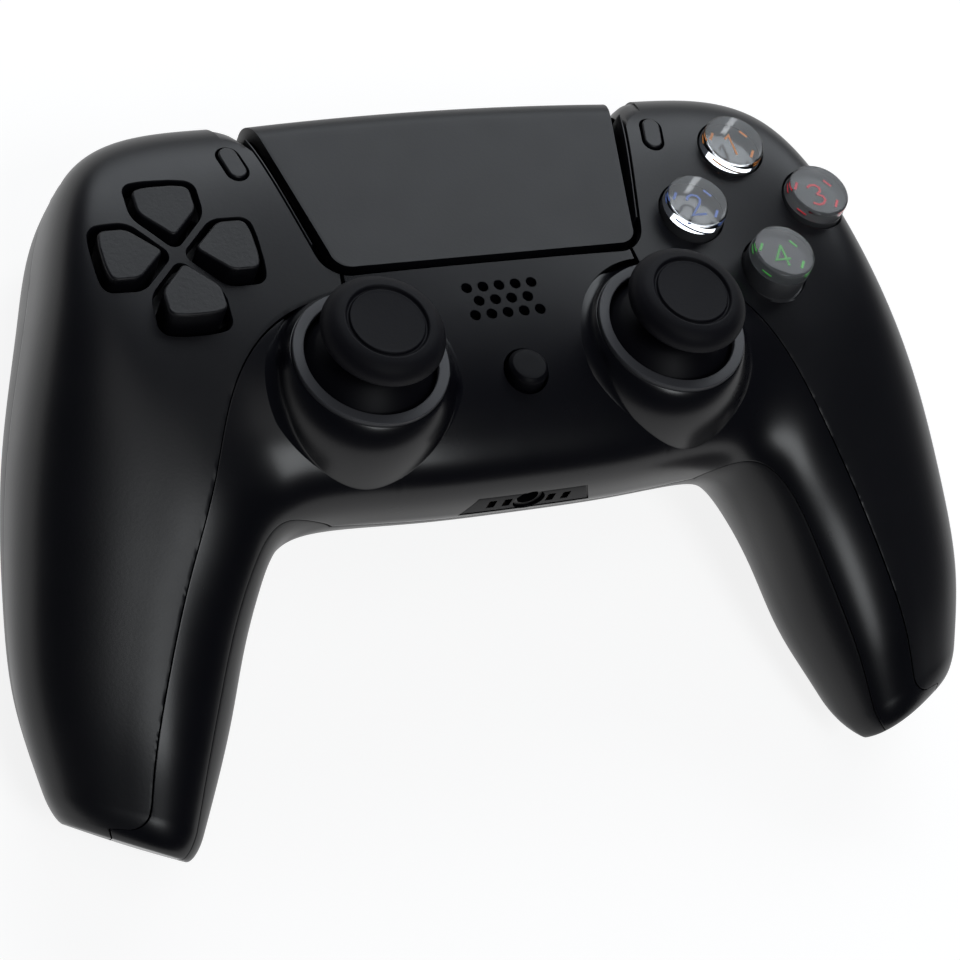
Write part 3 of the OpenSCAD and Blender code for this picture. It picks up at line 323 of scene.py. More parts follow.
# Colour, roughness, scale and depth of the grain in metres, refraction, metal
MOULDED = {
    "wing_black": ((0.0028, 0.0028, 0.0048), 0.37, 1900.0, 0.000010, 1.43),
    "trim_black": ((0.0020, 0.0020, 0.0040), 0.26, 900.0, 0.000002, 1.42),
    "back_black": ((0.0026, 0.0026, 0.0044), 0.38, 1700.0, 0.000014, 1.40),
    "pad_black": ((0.0030, 0.0031, 0.0050), 0.44, 2300.0, 0.000012, 1.43),
    "key_black": ((0.0028, 0.0028, 0.0046), 0.42, 1400.0, 0.000030, 1.39),
    "light_guide": ((0.010, 0.010, 0.012), 0.30, 700.0, 0.000004, 1.36),
    "ring_grey": ((0.070, 0.071, 0.078), 0.42, 1500.0, 0.000006, 1.35),
    "thumb_rubber": ((0.0034, 0.0033, 0.0058), 0.56, 1500.0, 0.000018, 1.24),
    "stem_black": ((0.0026, 0.0025, 0.0046), 0.46, 1200.0, 0.000005, 1.22),
    "gear_white": ((0.62, 0.61, 0.57), 0.45),
    "frame_grey": ((0.05, 0.05, 0.055), 0.5),
    "board_green": ((0.012, 0.075, 0.030), 0.38, 700.0, 0.00001),
    "battery_blue": ((0.10, 0.14, 0.22), 0.35, 500.0, 0.00001),
    "dome_rubber": ((0.020, 0.020, 0.022), 0.6),
    "socket_black": ((0.004, 0.004, 0.005), 0.35, 1600.0, 0.000012, 1.35),
    "contact_brass": ((0.42, 0.30, 0.14), 0.34, 1200.0, 0.000004, 1.45, 1.0),
    "steel": ((0.58, 0.58, 0.60), 0.28, 1200.0, 0.000004, 1.45, 1.0),
    "button_base": ((0.048, 0.049, 0.053), 0.40, 1200.0, 0.000006),
    "home_black": ((0.0024, 0.0024, 0.0042), 0.46, 1600.0, 0.000012, 1.20),
    "socket_panel": ((0.0040, 0.0040, 0.0056), 0.46, 1800.0, 0.000010, 1.20),
    "orange_mark": ((1.0, 0.34, 0.05), 0.5, 900.0, 0.000004, 1.3),
    "blue_mark": ((0.20, 0.32, 0.85), 0.5, 900.0, 0.000004, 1.3),
    "red_mark": ((0.95, 0.05, 0.075), 0.5, 900.0, 0.000004, 1.3),
    "green_mark": ((0.13, 0.70, 0.12), 0.5, 900.0, 0.000004, 1.3),
}
FINISH = {name: moulded(name, *look) for name, look in MOULDED.items()}
FINISH["clear_button"] = clear("clear_button", (0.97, 0.98, 0.99), 0.01, 1.41)
MARKS = {"top": "orange_mark", "left": "blue_mark", "right": "red_mark", "bottom": "green_mark"}


# Building
def to_object(bm, name):
    mesh = bpy.data.meshes.new(name)
    bm.to_mesh(mesh)
    bm.free()
    obj = bpy.data.objects.new(name, mesh)
    scene.collection.objects.link(obj)
    return obj


def piece(name, bm, body, slot, stands_for=(), finish=None, sharp=34):
    """Lays a finished shape on the table as a piece of the controller."""
    bm.transform(TABLE)
    obj = to_object(bm, name)
    obj.data.polygons.foreach_set("use_smooth", [True] * len(obj.data.polygons))
    obj.data.set_sharp_from_angle(angle=math.radians(sharp))
    obj.data.materials.append(FINISH[finish or slot])
    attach(obj, body)
    if stands_for:
        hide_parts(*stands_for)


def together(shapes):
    """One mesh out of several."""
    whole = bmesh.new()
    for bm in shapes:
        mesh = bpy.data.meshes.new("part")
        bm.to_mesh(mesh)
        bm.free()
        whole.from_mesh(mesh)
        bpy.data.meshes.remove(mesh)
    return whole


def cut(bm, *tools):
    """A solid with tools cut out of it. Tools that overlap go in calls of their own."""
    base, cutter = to_object(bm, "blank"), to_object(together(tools), "tool")
    change = base.modifiers.new("work", "BOOLEAN")
    change.solver, change.operation, change.object = "MANIFOLD", "DIFFERENCE", cutter
    made = base.evaluated_get(bpy.context.evaluated_depsgraph_get()).to_mesh()
    result = bmesh.new()
    result.from_mesh(made)
    for obj in (base, cutter):
        mesh = obj.data
        bpy.data.objects.remove(obj)
        bpy.data.meshes.remove(mesh)
    return result


def soften(bm, width, segments, over=50):
    """Rounds the edges that turn more than an angle."""
    edges = [e for e in bm.edges
             if len(e.link_faces) == 2 and e.calc_face_angle(0) > math.radians(over)]
    bmesh.ops.bevel(bm, geom=edges, offset=width, offset_type="OFFSET", affect="EDGES", segments=segments,
                    profile=0.5, material=-1, clamp_overlap=True)


def draped(outer, inner):
    """A closed sheet between two arrays of points, from a grid and its extrusion."""
    rows, columns = outer.shape[:2]
    bm = bmesh.new()
    bmesh.ops.create_grid(bm, x_segments=rows - 1, y_segments=columns - 1, size=1.0)
    row_tag, column_tag = bm.verts.layers.int.new("row"), bm.verts.layers.int.new("column")
    for v in bm.verts:
        v[row_tag] = round((v.co.x + 1) / 2 * (rows - 1))
        v[column_tag] = round((v.co.y + 1) / 2 * (columns - 1))
        v.co = outer[v[row_tag], v[column_tag]]
    made = bmesh.ops.extrude_face_region(bm, geom=bm.faces[:], use_keep_orig=True)
    for v in made["geom"]:
        if isinstance(v, bmesh.types.BMVert):
            v.co = inner[v[row_tag], v[column_tag]]
    bmesh.ops.recalc_face_normals(bm, faces=bm.faces)
    return bm


def lofted(rings, closed_ends=True):
    """A solid through rings of points, all with the same count."""
    rings = np.asarray(rings, float)
    count, size = rings.shape[:2]
    bm = bmesh.new()
    bmesh.ops.create_grid(bm, x_segments=size, y_segments=count - 1, size=1.0)
    for v in bm.verts:
        v.co = rings[round((v.co.y + 1) / 2 * (count - 1)), round((v.co.x + 1) / 2 * size) % size]
    bmesh.ops.remove_doubles(bm, verts=bm.verts, dist=1e-5)
    if closed_ends:
        bmesh.ops.holes_fill(bm, edges=[e for e in bm.edges if e.is_boundary], sides=0)
    bmesh.ops.recalc_face_normals(bm, faces=bm.faces)
    return bm


def spun(profile, centre, steps=96):
    """A turned solid from its (radius, height) profile."""
    bm = bmesh.new()
    verts = [bm.verts.new((r, 0, z)) for r, z in profile]
    edges = [bm.edges.new(pair) for pair in zip(verts, verts[1:])]
    if profile[0][0] > 0 and profile[-1][0] > 0:
        edges.append(bm.edges.new((verts[-1], verts[0])))
    bmesh.ops.spin(bm, geom=verts + edges, cent=(0, 0, 0), axis=(0, 0, 1), angle=2 * math.pi, steps=steps,
                   use_merge=True)
    bmesh.ops.remove_doubles(bm, verts=bm.verts, dist=1e-4)
    bmesh.ops.recalc_face_normals(bm, faces=bm.faces)
    bmesh.ops.translate(bm, verts=bm.verts, vec=centre)
    return bm


def eased(points, radius, segments):
    """A (radius, height) profile with its inner corners rounded."""
    made = [points[0]]
    for before, here, after in zip(points, points[1:], points[2:]):
        before, here, after = np.array(before), np.array(here), np.array(after)
        a, b = before - here, after - here
        reach = min(radius, np.linalg.norm(a) * 0.45, np.linalg.norm(b) * 0.45)
        first, last = here + unit(a) * reach, here + unit(b) * reach
        for k in range(segments + 1):
            t = k / segments
            made.append(tuple(first * (1 - t) ** 2 + here * 2 * t * (1 - t) + last * t ** 2))
    return made + [points[-1]]


def rounded(corners, radius, segments=6):
    """A closed outline with its corners rounded."""
    bm = bmesh.new()
    bm.faces.new([bm.verts.new((x, y, 0)) for x, y in corners])
    bmesh.ops.bevel(bm, geom=bm.verts[:], offset=radius, offset_type="OFFSET", affect="VERTICES",
                    segments=segments, profile=0.5, material=-1, clamp_overlap=True)
    bm.faces.ensure_lookup_table()
    outline = [(v.co.x, v.co.y) for v in bm.faces[0].verts]
    bm.free()
    return outline


def even(outline, step):
    """An outline with its long sides split into short steps, running anticlockwise."""
    points = np.array(outline, float)
    nxt = np.roll(points, -1, 0)
    if (points[:, 0] * nxt[:, 1] - points[:, 1] * nxt[:, 0]).sum() < 0:
        points = points[::-1]
        nxt = np.roll(points, -1, 0)
    made = []
    for a, b in zip(points, nxt):
        parts = max(1, int(np.linalg.norm(b - a) / step))
        made += [a + (b - a) * k / parts for k in range(parts)]
    return np.array(made)


def outward_from(outline):
    """Directions square to a closed outline, away from its inside."""
    way = np.roll(outline, -1, 0) - np.roll(outline, 1, 0)
    return unit(np.stack([way[:, 1], -way[:, 0]], -1))


def circle(centre, r, steps=72):
    a = np.arange(steps) * 2 * math.pi / steps
    return np.stack([centre[0] + r * np.cos(a), centre[1] + r * np.sin(a)], -1)


def pill(length, width):
    a = np.linspace(0, math.pi, 14)
    end = np.stack([width / 2 * np.cos(a), width / 2 * np.sin(a) + (length - width) / 2], -1)
    return np.vstack([end, -end])


def placed(outline, centre, turn=0.0, flip=1):
    """An outline turned, moved to its centre and, with a flip of -1, mirrored to the other side."""
    outline = np.array(outline, float)
    c, s = math.cos(math.radians(turn)), math.sin(math.radians(turn))
    x = outline[:, 0] * c - outline[:, 1] * s
    y = outline[:, 0] * s + outline[:, 1] * c
    return np.stack([flip * (x + centre[0]), y + centre[1]], -1)


# Growth and height over the surface, down the rounded lip of a hole
LIP = [(0.6, 0.55), (0.22, 0.03), (0.12, -0.09), (0.04, -0.25), (0.0, -0.5)]
LIP_TOP = 9.0


def well(outline, lip=1.0, deep=-14.0):
    """A cutter for a hole in the face with a rounded lip that follows the surface."""
    points = np.array(outline, float)
    outward = outward_from(points)
    rings = [np.column_stack([points + outward * LIP[0][0] * lip, np.full(len(points), LIP_TOP)])]
    for grow, rise in LIP:
        q = points + outward * grow * lip
        rings.append(np.column_stack([q, skin_height(q[:, 0], q[:, 1]) + rise * lip]))
    rings.append(np.column_stack([points, np.full(len(points), deep)]))
    return lofted(rings)


def slab(outline, low, high, edge, segments):
    """A solid on an outline with its upper edge rounded, and a thin inset that keeps its top flat."""
    bm = bmesh.new()
    top = bm.faces.new([bm.verts.new((x, y, high)) for x, y in outline])
    made = bmesh.ops.extrude_face_region(bm, geom=[top], use_keep_orig=True)
    for v in made["geom"]:
        if isinstance(v, bmesh.types.BMVert):
            v.co.z = low
    bmesh.ops.recalc_face_normals(bm, faces=bm.faces)
    rim = [e for e in bm.edges if all(abs(v.co.z - high) < 1e-5 for v in e.verts)]
    bmesh.ops.bevel(bm, geom=rim, offset=edge, offset_type="OFFSET", affect="EDGES", segments=segments,
                    profile=0.5, material=-1, clamp_overlap=True)
    flat = [f for f in bm.faces if len(f.verts) > 4 and f.calc_center_median().z > high - 1e-4]
    bmesh.ops.inset_individual(bm, faces=flat, thickness=0.05, use_even_offset=True)
    return bm


def box(low, high):
    bm = bmesh.new()
    bmesh.ops.create_cube(bm, size=1.0)
    low, high = Vector(low), Vector(high)
    for v in bm.verts:
        v.co = [low[k] + (v.co[k] + 0.5) * (high[k] - low[k]) for k in range(3)]
    return bm


def rod(r, start, end, steps):
    """A plain round bar between two points."""
    start, end = Vector(start), Vector(end)
    bm = bmesh.new()
    bmesh.ops.create_cone(bm, cap_ends=True, segments=steps, radius1=r, radius2=r,
                          depth=(end - start).length)
    turn = Vector((0, 0, 1)).rotation_difference(end - start).to_matrix().to_4x4()
    bm.transform(Matrix.Translation((start + end) / 2) @ turn)
    return bm


# Body covers, over places from one grip's end to the other's
half_way = np.concatenate([np.linspace(0, LAST, 201), LAST + np.arange(1, 17) / 16, [LAST + 2.0]])
PLACES = np.concatenate([-half_way[:0:-1], half_way])


def cover(first, last, steps, thick):
    """A sheet of the body's skin between two seams."""
    t = np.linspace(0, 1, steps + 1)
    u = np.repeat(PLACES[:, None], steps + 1, 1)
    a = first(PLACES)[:, None] * (1 - t) + last(PLACES)[:, None] * t
    return draped(skin(u, a), skin(u, a, thick))


def pad_half(y):
    """Half the width of the touchpad at a place up the face."""
    return PAD_HALF + (y - PAD_LOW) * PAD_SLOPE


def key_outline(grow=0.0):
    """The upper direction key, its tip towards the middle of the four, grown on all sides."""
    w, tip, reach = 4.55 + grow, 2.4 - grow * 1.3, 11.9 + grow
    shoulder = 7.1 - grow * 0.4
    return rounded([(0, tip), (w, shoulder), (w, reach - 0.55), (w / 2, reach), (-w / 2, reach),
                    (-w, reach - 0.55), (-w, shoulder)], 1.0 + grow * 0.6)


def button_place(name):
    way = BUTTONS[name]
    return (CLUSTER[0] + BUTTON_RING * way[0], CLUSTER[1] + BUTTON_RING * way[1])


# Rooms of the bumpers and of the triggers: from and to in X, Y and Z
SHOULDER_ROOMS = [((36.8, 61.3), (4, 34), (-16.6, -6.4)), ((38.9, 59.1), (9.1, 39), (-60, -16.5))]


def shoulder_rooms():
    rooms = []
    for side in (-1, 1):
        for across, y, z in SHOULDER_ROOMS:
            x = sorted((side * across[0], side * across[1]))
            rooms.append(box((x[0], y[0], z[0]), (x[1], y[1], z[1])))
    return rooms


def pad_side(u):
    """Share of the trim's reach towards the touchpad: whole in the middle, none beside the wings."""
    t = np.clip((REACH_END - np.abs(u)) / REACH_RUN, 0, 1)
    return t ** 2 * (3 - 2 * t)


def side_line(y):
    """Where the opening beside the touchpad and its light guide ends."""
    return pad_half(y) + PAD_GAP + LIGHT_W + 2 * SEAM


def pad_opening():
    low, high = PAD_LOW - PAD_GAP, 40
    corners = [(-side_line(low), low), (side_line(low), low),
               (side_line(high), high), (-side_line(high), high)]
    return well(even(rounded(corners, OPENING_CORNER, 8), 0.8), 0.5, -9.5)


# Height, and how far up the face the wings' corners reach there
WING_TOP = [(6.0, 10.0), (0.0, 11.4), (-1.0, 13.4), (-2.0, 15.05), (-3.0, 16.15), (-4.0, 16.8),
            (-6.0, 17.65), (-9.4, 18.3)]
WING_CORNER_R = 4.4


def top_corner(side):
    """A cutter that rounds a wing's corner beside the touchpad, level by level."""
    r, rings = WING_CORNER_R, []
    for z, top in WING_TOP:
        x, y = side_line(top - r) + r, top - r
        a = np.linspace(math.pi / 2, math.pi, 13)
        arc = np.stack([x + r * np.cos(a), y + r * np.sin(a)], -1)
        outline = np.vstack([arc, [(x - r - 3, y), (x - r - 3, 26), (x, 26)]])
        rings.append(np.column_stack([side * outline[:, 0], outline[:, 1], np.full(len(outline), z)]))
    return lofted(rings)


def make_wings():
    bm = cover(lambda u: upper_seam(u, TRIM_REACH * pad_side(u)), lambda u: seam_angle(u, 180.0), 72, WALL)
    soften(bm, WALL_EDGE, 3)
    key = even(key_outline(KEY_GAP), 0.6)
    tools = [well(placed(key, KEYS, turn)) for turn in QUARTERS]
    tools += [well(circle(button_place(name), BUTTON_R + BUTTON_GAP)) for name in BUTTONS]
    slot = pill(MENU_L + 2 * BUTTON_GAP, MENU_W + 2 * BUTTON_GAP)
    tools += [well(even(placed(slot, MENU, MENU_TURN, side), 0.7), 0.7) for side in (-1, 1)]
    bm = cut(bm, *tools)
    for tool in [pad_opening(), top_corner(-1), top_corner(1)] + shoulder_rooms():
        bm = cut(bm, tool)
    piece("wings", bm, "case", "wing_black", ["front_shell"])


def flank(drop):
    """Radius of the bowl's bell a distance below its rim."""
    return RIM_R + 0.2 + BELL_SPREAD * (1 - np.exp(-drop / BELL_FALL))


def pod(side):
    """The bell round a stick, run out into the panel with a soft fillet."""
    steps = 168
    around = np.arange(steps) * 2 * math.pi / steps
    way = np.stack([np.cos(around), np.sin(around)], -1)
    centre = np.array([STICK[0], STICK[1]])

    def over(r):
        p = centre + way * r[:, None]
        return skin_height(p[:, 0], p[:, 1])

    # How far the panel goes on in each direction, up to its seams
    line = np.linspace(0, 7, 1400)
    foot = np.stack([np.linspace(0, 45, 200), np.full(200, -46.6)], -1)
    edge = np.vstack([skin(line, upper_seam(line, -SEAM))[:, :2], foot]) - centre
    edge_turn, edge_r = np.arctan2(edge[:, 1], edge[:, 0]), np.linalg.norm(edge, axis=-1)
    limit = []
    for a in around:
        near = np.abs((edge_turn - a + math.pi) % (2 * math.pi) - math.pi) < 0.03
        limit.append(edge_r[near].min(initial=30.0))
    limit = np.array(limit)

    # Where the bell meets the panel, by halving
    top = RIM_Z - 0.8
    low, high = np.zeros(steps), np.full(steps, 13.0)
    for _ in range(24):
        mid = (low + high) / 2
        above = top - mid > over(flank(mid))
        low, high = np.where(above, mid, low), np.where(above, high, mid)
    drop = (low + high) / 2
    meet = flank(drop)

    # The fillet there, with no room for one at the panel's foot
    side_on = np.clip((way[:, 1] + 0.85) / 0.5, 0, 1)
    room = np.clip(np.minimum(FILLET, (limit - meet) * 0.8) * side_on, FILLET_LEAST, None)
    start = np.clip(drop - room * 0.85, 0.3 * drop, None)
    end_r = meet + room
    first = np.stack([flank(start), top - start], -1)
    corner = np.stack([meet, top - drop], -1)
    last = np.stack([end_r, over(end_r) - 0.2 - 0.06 * room], -1)
    lowest = np.minimum(corner[:, 1], last[:, 1])

    rings = []

    def ring(r, z):
        p = centre + way * np.asarray(r)[:, None]
        rings.append(np.column_stack([p, np.asarray(z) + 0 * around]))

    # Up the bowl, over the rim, down the bell, out along the fillet and back underneath
    same = np.ones(steps)
    ring(same * BOWL_R, BOWL_FOOT)
    for a in np.linspace(math.pi / 2, math.acos(BOWL_MOUTH / BOWL_R), 14):
        ring(same * BOWL_R * math.sin(a), STICK[2] + BOWL_R * math.cos(a))
    ring(same * (RIM_R + 0.05), -0.85)
    ring(same * (RIM_R + 0.05), top - 0.08)
    ring(same * (RIM_R + 0.12), top)
    for t in np.linspace(0.02, 1, 16):
        ring(flank(start * t), top - start * t)
    for t in np.linspace(0.1, 1, 10):
        p = first * (1 - t) ** 2 + corner * 2 * t * (1 - t) + last * t ** 2
        ring(p[:, 0], p[:, 1])
    ring(end_r + 0.1, last[:, 1] - 0.35)
    ring(np.minimum(end_r, meet + 0.3), last[:, 1] - 1.2)
    ring(np.maximum(flank(drop + 1.5), BOWL_R + 0.6), lowest - 1.6)
    ring(same * BELL_FOOT_R, np.minimum(lowest - 2.4, BOWL_FOOT))
    rings.append(rings[0] + np.array([0, 0, -1.0]) * (lowest < -9.6)[:, None] * 3.5)
    bm = lofted(rings + [rings[0]], False)
    if side < 0:
        bmesh.ops.scale(bm, vec=(-1, 1, 1), verts=bm.verts)
    bmesh.ops.recalc_face_normals(bm, faces=bm.faces)
    return bm


# Half widths at the foot and the head, Z of both, outer and inner depth under the body's skin
PANEL_ROOM = (11.2, 9.2, -19.2, -14.4, -1.0, 0.3)
PANEL_PLATE = (11.0, 9.05, -19.05, -14.55, 0.12, 0.5)


def panel_patch(half_low, half_high, z_low, z_high, out, deep):
    """A patch of the edge between the grips, its ends slanted, from one depth to another."""
    columns, rows = 49, 9
    points = [np.zeros((columns, rows, 3)), np.zeros((columns, rows, 3))]
    angles = np.linspace(-0.4, 0.9, 1200)
    for j, z in enumerate(np.linspace(z_low, z_high, rows)):
        half = half_low + (half_high - half_low) * (j / (rows - 1))
        for i, x in enumerate(np.linspace(-half, half, columns)):
            for sheet, inset in zip(points, (out, deep)):
                p = skin(x / ROW_MIDDLE, angles, inset)
                sheet[i, j] = p[np.abs(p[:, 2] - z).argmin()]
    return draped(*points)


def bottom_holes():
    """Cutters for the headset socket and the charge contacts."""
    y, z = JACK
    tools = [rod(JACK_R, (0, y - 8, z), (0, y + 12, z), 48)]
    across, upright = CONTACT_HALF
    for x in CONTACTS:
        tools.append(box((x - across, y - 8, z - upright), (x + across, y + 8, z + upright)))
    return tools


def make_trim():
    bm = cover(lambda u: lower_seam(u, SEAM),
               lambda u: upper_seam(u, TRIM_REACH * pad_side(u) - SEAM), 64, TRIM_T)
    soften(bm, TRIM_EDGE, 3)
    x, y = STICK[:2]
    bm = cut(bm, *[rod(BOWL_R + 0.4, (s * x, y, -30), (s * x, y, 20), 96) for s in (-1, 1)])
    tools = [pad_opening(), well(circle((0, HOME_Y), HOME_R + BUTTON_GAP, 56), 0.7, -12.0)]
    for k, count in enumerate(SPEAKER_ROWS):
        for i in range(count):
            spot = ((i - (count - 1) / 2) * SPEAKER_STEP[0], SPEAKER_Y + (1 - k) * SPEAKER_STEP[1])
            tools.append(well(circle(spot, SPEAKER_R, 24), 0.3, -12.0))
    bm = cut(bm, *tools)
    bm = cut(bm, panel_patch(*PANEL_ROOM))
    bm = cut(bm, *bottom_holes())
    bm = together([bm, pod(-1), pod(1)])
    piece("centre_trim_cover", bm, "case", "trim_black", ["centre_trim"])
    plate = panel_patch(*PANEL_PLATE)
    soften(plate, 0.08, 2)
    plate = cut(plate, *bottom_holes())
    piece("socket_panel", plate, "case", "trim_black", finish="socket_panel")


# Place along the body and angle round it of the screws' wells, and the charge port's opening
SCREWS, SCREW_R = [(1.575, 254.5), (3.2, 312.0)], 2.4
PORT_ROOM = ((-5, 12, -17.5), (5, 24, -13.3))


def make_back():
    bm = cover(lambda u: seam_angle(u, 180.0) + 1e-4, lambda u: lower_seam(u, 0.0, 1), 110, WALL)
    soften(bm, WALL_EDGE, 3)
    tools = []
    for u, a in SCREWS:
        x, y, z = skin(np.array(u), seam_angle(np.array(u), a), WALL / 2)
        tools += [rod(SCREW_R, (s * x, y, z - 10), (s * x, y, z + 2.3), 48) for s in (-1, 1)]
    tools.append(box(*PORT_ROOM))
    bm = cut(bm, *tools)
    for tool in shoulder_rooms():
        bm = cut(bm, tool)
    bm = cut(bm, *bottom_holes())
    piece("back_cover", bm, "case", "back_black", ["rear_shell"])


# Touchpad
def pad_line(r):
    """Side view of the touchpad: flat, rolled over its upper edge with a radius, then down."""
    bend = np.linspace(0, math.pi / 2, 17)[1:]
    flat = PAD_LOW + (PAD_ROLL - PAD_LOW) * (1 - np.cos(np.linspace(0, math.pi / 2, 40)))
    down = np.linspace(-5.6, -9, 5)
    y = np.concatenate([flat, PAD_ROLL + r * np.sin(bend), np.full(len(down), PAD_ROLL + r)])
    z = np.concatenate([np.full(len(flat), r - PAD_ROLL_R), -PAD_ROLL_R + r * np.cos(bend), down])
    return y[:, None], z[:, None]


def make_touchpad():
    y, z = pad_line(PAD_ROLL_R)
    under_y, under_z = pad_line(PAD_ROLL_R - PAD_T)
    rise = np.clip(y - PAD_LOW, 0, PAD_CORNER)
    corner = (pad_half(PAD_LOW + PAD_CORNER) - PAD_CORNER
              + np.sqrt(PAD_CORNER ** 2 - (PAD_CORNER - rise) ** 2))
    narrow = PAD_NARROW * np.clip((y - PAD_LOW - PAD_CORNER) / PAD_NARROW_RUN, 0, 1)
    half = np.where(rise < PAD_CORNER, corner, pad_half(y)) - narrow
    x = half * np.linspace(-1, 1, 81)
    bow = x ** 2 / (2 * PAD_BOW_R) * np.clip((y - PAD_LOW) / (PAD_ROLL - PAD_LOW), 0, 1)
    bm = draped(np.stack([x, y - bow, z + 0 * x], -1), np.stack([x, under_y - bow, under_z + 0 * x], -1))
    soften(bm, 0.32, 4, 60)
    piece("touchpad_plate", bm, "touchpad", "pad_black", ["touchpad"])


# Distance in from a light guide's outer side, and depth under the wing's surface there
LIGHT_PROFILE = [(0, 0.5), (0.05, 0.22), (0.12, 0.12), (0.28, 0.12), (0.36, 0.3), (LIGHT_W, 1.5)]


def make_light_guide(side, name):
    y = np.linspace(LIGHT_START, LIGHT_END, 61)[:, None]
    back, sink = np.array(LIGHT_PROFILE).T
    x = pad_half(y) + PAD_GAP + SEAM + LIGHT_W - back
    top = np.stack([side * x, y + 0 * x, skin_height(x, y + 0 * x) - sink], -1)
    bm = draped(top, top * (1, 1, 0) + (0, 0, LIGHT_FOOT))
    piece(f"{name}_light_strip", bm, "case", "light_guide", [f"{name}_light_guide"])


# Buttons and keys
NUMERALS = {
    1: [[(-0.8, 1.3), (0.15, 2.0), (0.15, -2.0)]],
    2: [[(-1.2, 1.0), (-0.85, 1.7), (0, 2.0), (0.85, 1.7), (1.15, 1.0), (0.75, 0.15), (-1.2, -1.9),
         (1.3, -1.9)]],
    3: [[(-1.1, 1.55), (-0.4, 1.95), (0.5, 1.9), (1.05, 1.35), (0.95, 0.6), (0.1, 0.08)],
        [(0.1, 0.08), (1.05, -0.4), (1.2, -1.2), (0.6, -1.85), (-0.3, -2.0), (-1.2, -1.55)]],
    4: [[(0.55, -2.0), (0.55, 2.0)], [(0.55, 2.0), (-1.3, -0.7), (1.35, -0.7)]],
}
TICK = [(-0.22, -0.8), (0.22, -0.8), (0.22, 0.8), (-0.22, 0.8)]


def stroke(points, width):
    """Outline of a drawn line, its joints mitred."""
    points = np.array(points, float)
    legs = unit(np.diff(points, axis=0))
    way = unit(np.vstack([legs[:1], legs[:-1] + legs[1:], legs[-1:]]))
    short = np.clip((way * np.vstack([legs, legs[-1:]])).sum(-1), 0.5, 1)
    side = np.stack([-way[:, 1], way[:, 0]], -1) * (width / 2 / short)[:, None]
    return np.vstack([points - side, (points + side)[::-1]])


def make_button(name, number):
    x, y = button_place(name)
    r, top, body = BUTTON_R, BUTTON_TOP, f"{name}_button"
    low = float(np.clip(skin_height(np.array([x]), np.array([y - r]))[0] - 0.6, -3.1, -1.9))
    edge = eased([(r * 0.8, top - 0.06), (r, top - 0.1), (r, low)], 0.5, 8)[1:]
    lens = [(0, top), (r * 0.5, top - 0.02)] + edge + [(0, low)]
    piece(f"{body}_lens", spun(lens, (x, y, 0), 256), body, "clear_button", [body])
    # Air lies under the lens of the top and left buttons; in the others the base comes up to the marks, so that
    # their lens sides show the dark base as painted shade
    rest = low - 0.15 if name in ("top", "left") else 0.12
    collar = eased([(r + 0.04, 0.35), (r + 0.12, 0.35), (r + 0.12, -3.3)], 0.03, 2)
    foot = [(r + 0.8, -3.3), (r + 0.8, -4.3), (3, -4.3), (3, -6), (0, -6)]
    base = [(0, rest), (r + 0.04, rest)] + collar + foot
    piece(f"{body}_base", spun(base, (x, y, 0), 256), body, "clear_button", finish="button_base")
    # Lines that cross lie at heights of their own
    mark = [slab(stroke(line, MARK_W) + (x, y), MARK_LOW, MARK_TOP + 0.02 * k, MARK_EDGE, 1)
            for k, line in enumerate(NUMERALS[number])]
    for turn in TICK_TURNS:
        a = math.radians(turn)
        spot = (x + TICK_RING * math.cos(a), y + TICK_RING * math.sin(a))
        mark.append(slab(placed(TICK, spot, turn), MARK_LOW, MARK_TOP, MARK_EDGE, 1))
    piece(f"{body}_mark", together(mark), body, "clear_button", finish=MARKS[name])


def make_keys():
    key = even(key_outline(), 1.0)
    keys = [slab(placed(key, KEYS, turn), KEY_LOW, KEY_TOP, 0.38, 3) for turn in QUARTERS]
    plate = [(0, KEY_LOW), (KEY_PLATE_R, KEY_LOW), (KEY_PLATE_R, KEY_PLATE_LOW), (0, KEY_PLATE_LOW)]
    keys.append(spun(plate, (*KEYS, 0)))
    piece("direction_keys", together(keys), "dpad", "key_black", ["dpad"], sharp=50)


def make_menu_button(side, name):
    outline = placed(pill(MENU_L, MENU_W), MENU, MENU_TURN, side)
    flange = placed(pill(MENU_L + MENU_FLANGE, MENU_W + MENU_FLANGE), MENU, MENU_TURN, side)
    top = slab(even(outline, 5), MENU_STEP, MENU_TOP, 0.3, 4)
    foot = slab(even(flange, 5), MENU_LOW, MENU_STEP, 0.1, 1)
    body = f"{name}_menu_button"
    piece(f"{name}_menu_key", together([top, foot]), body, "key_black", [body], "wing_black", 50)


def make_home():
    r, top = HOME_R, HOME_TOP
    crown = eased([(1.5, top), (2.62, top), (3.15, -1.7), (r, -2.1), (r, -7.6)], 0.12, 3)
    profile = [(0, top)] + crown + [(r + 1, -7.6), (r + 1, -8.6), (0, -8.6)]
    piece("home_key", spun(profile, (0, HOME_Y, 0), 72), "home_button", "key_black", ["home_button"],
          "home_black")


# Sticks, with the outside of a thumb cap as radius and height over the cap's lower edge
CAP_OUTSIDE = [(8.3, 0), (9.2, 0.05), (9.5, 0.75), (9.35, 1.8), (8.7, 2.75), (7.6, 3.45), (6.35, 3.7),
               (6.05, 3.2), (5.8, 3.2), (5.65, 3.6), (5.2, 3.55), (0, 3.4)]


def dome_line(r, first, last):
    """A (radius, height) line round the stick's centre, from one angle to another."""
    return [(r * math.sin(a), STICK[2] + r * math.cos(a)) for a in np.radians(np.linspace(first, last, 22))]


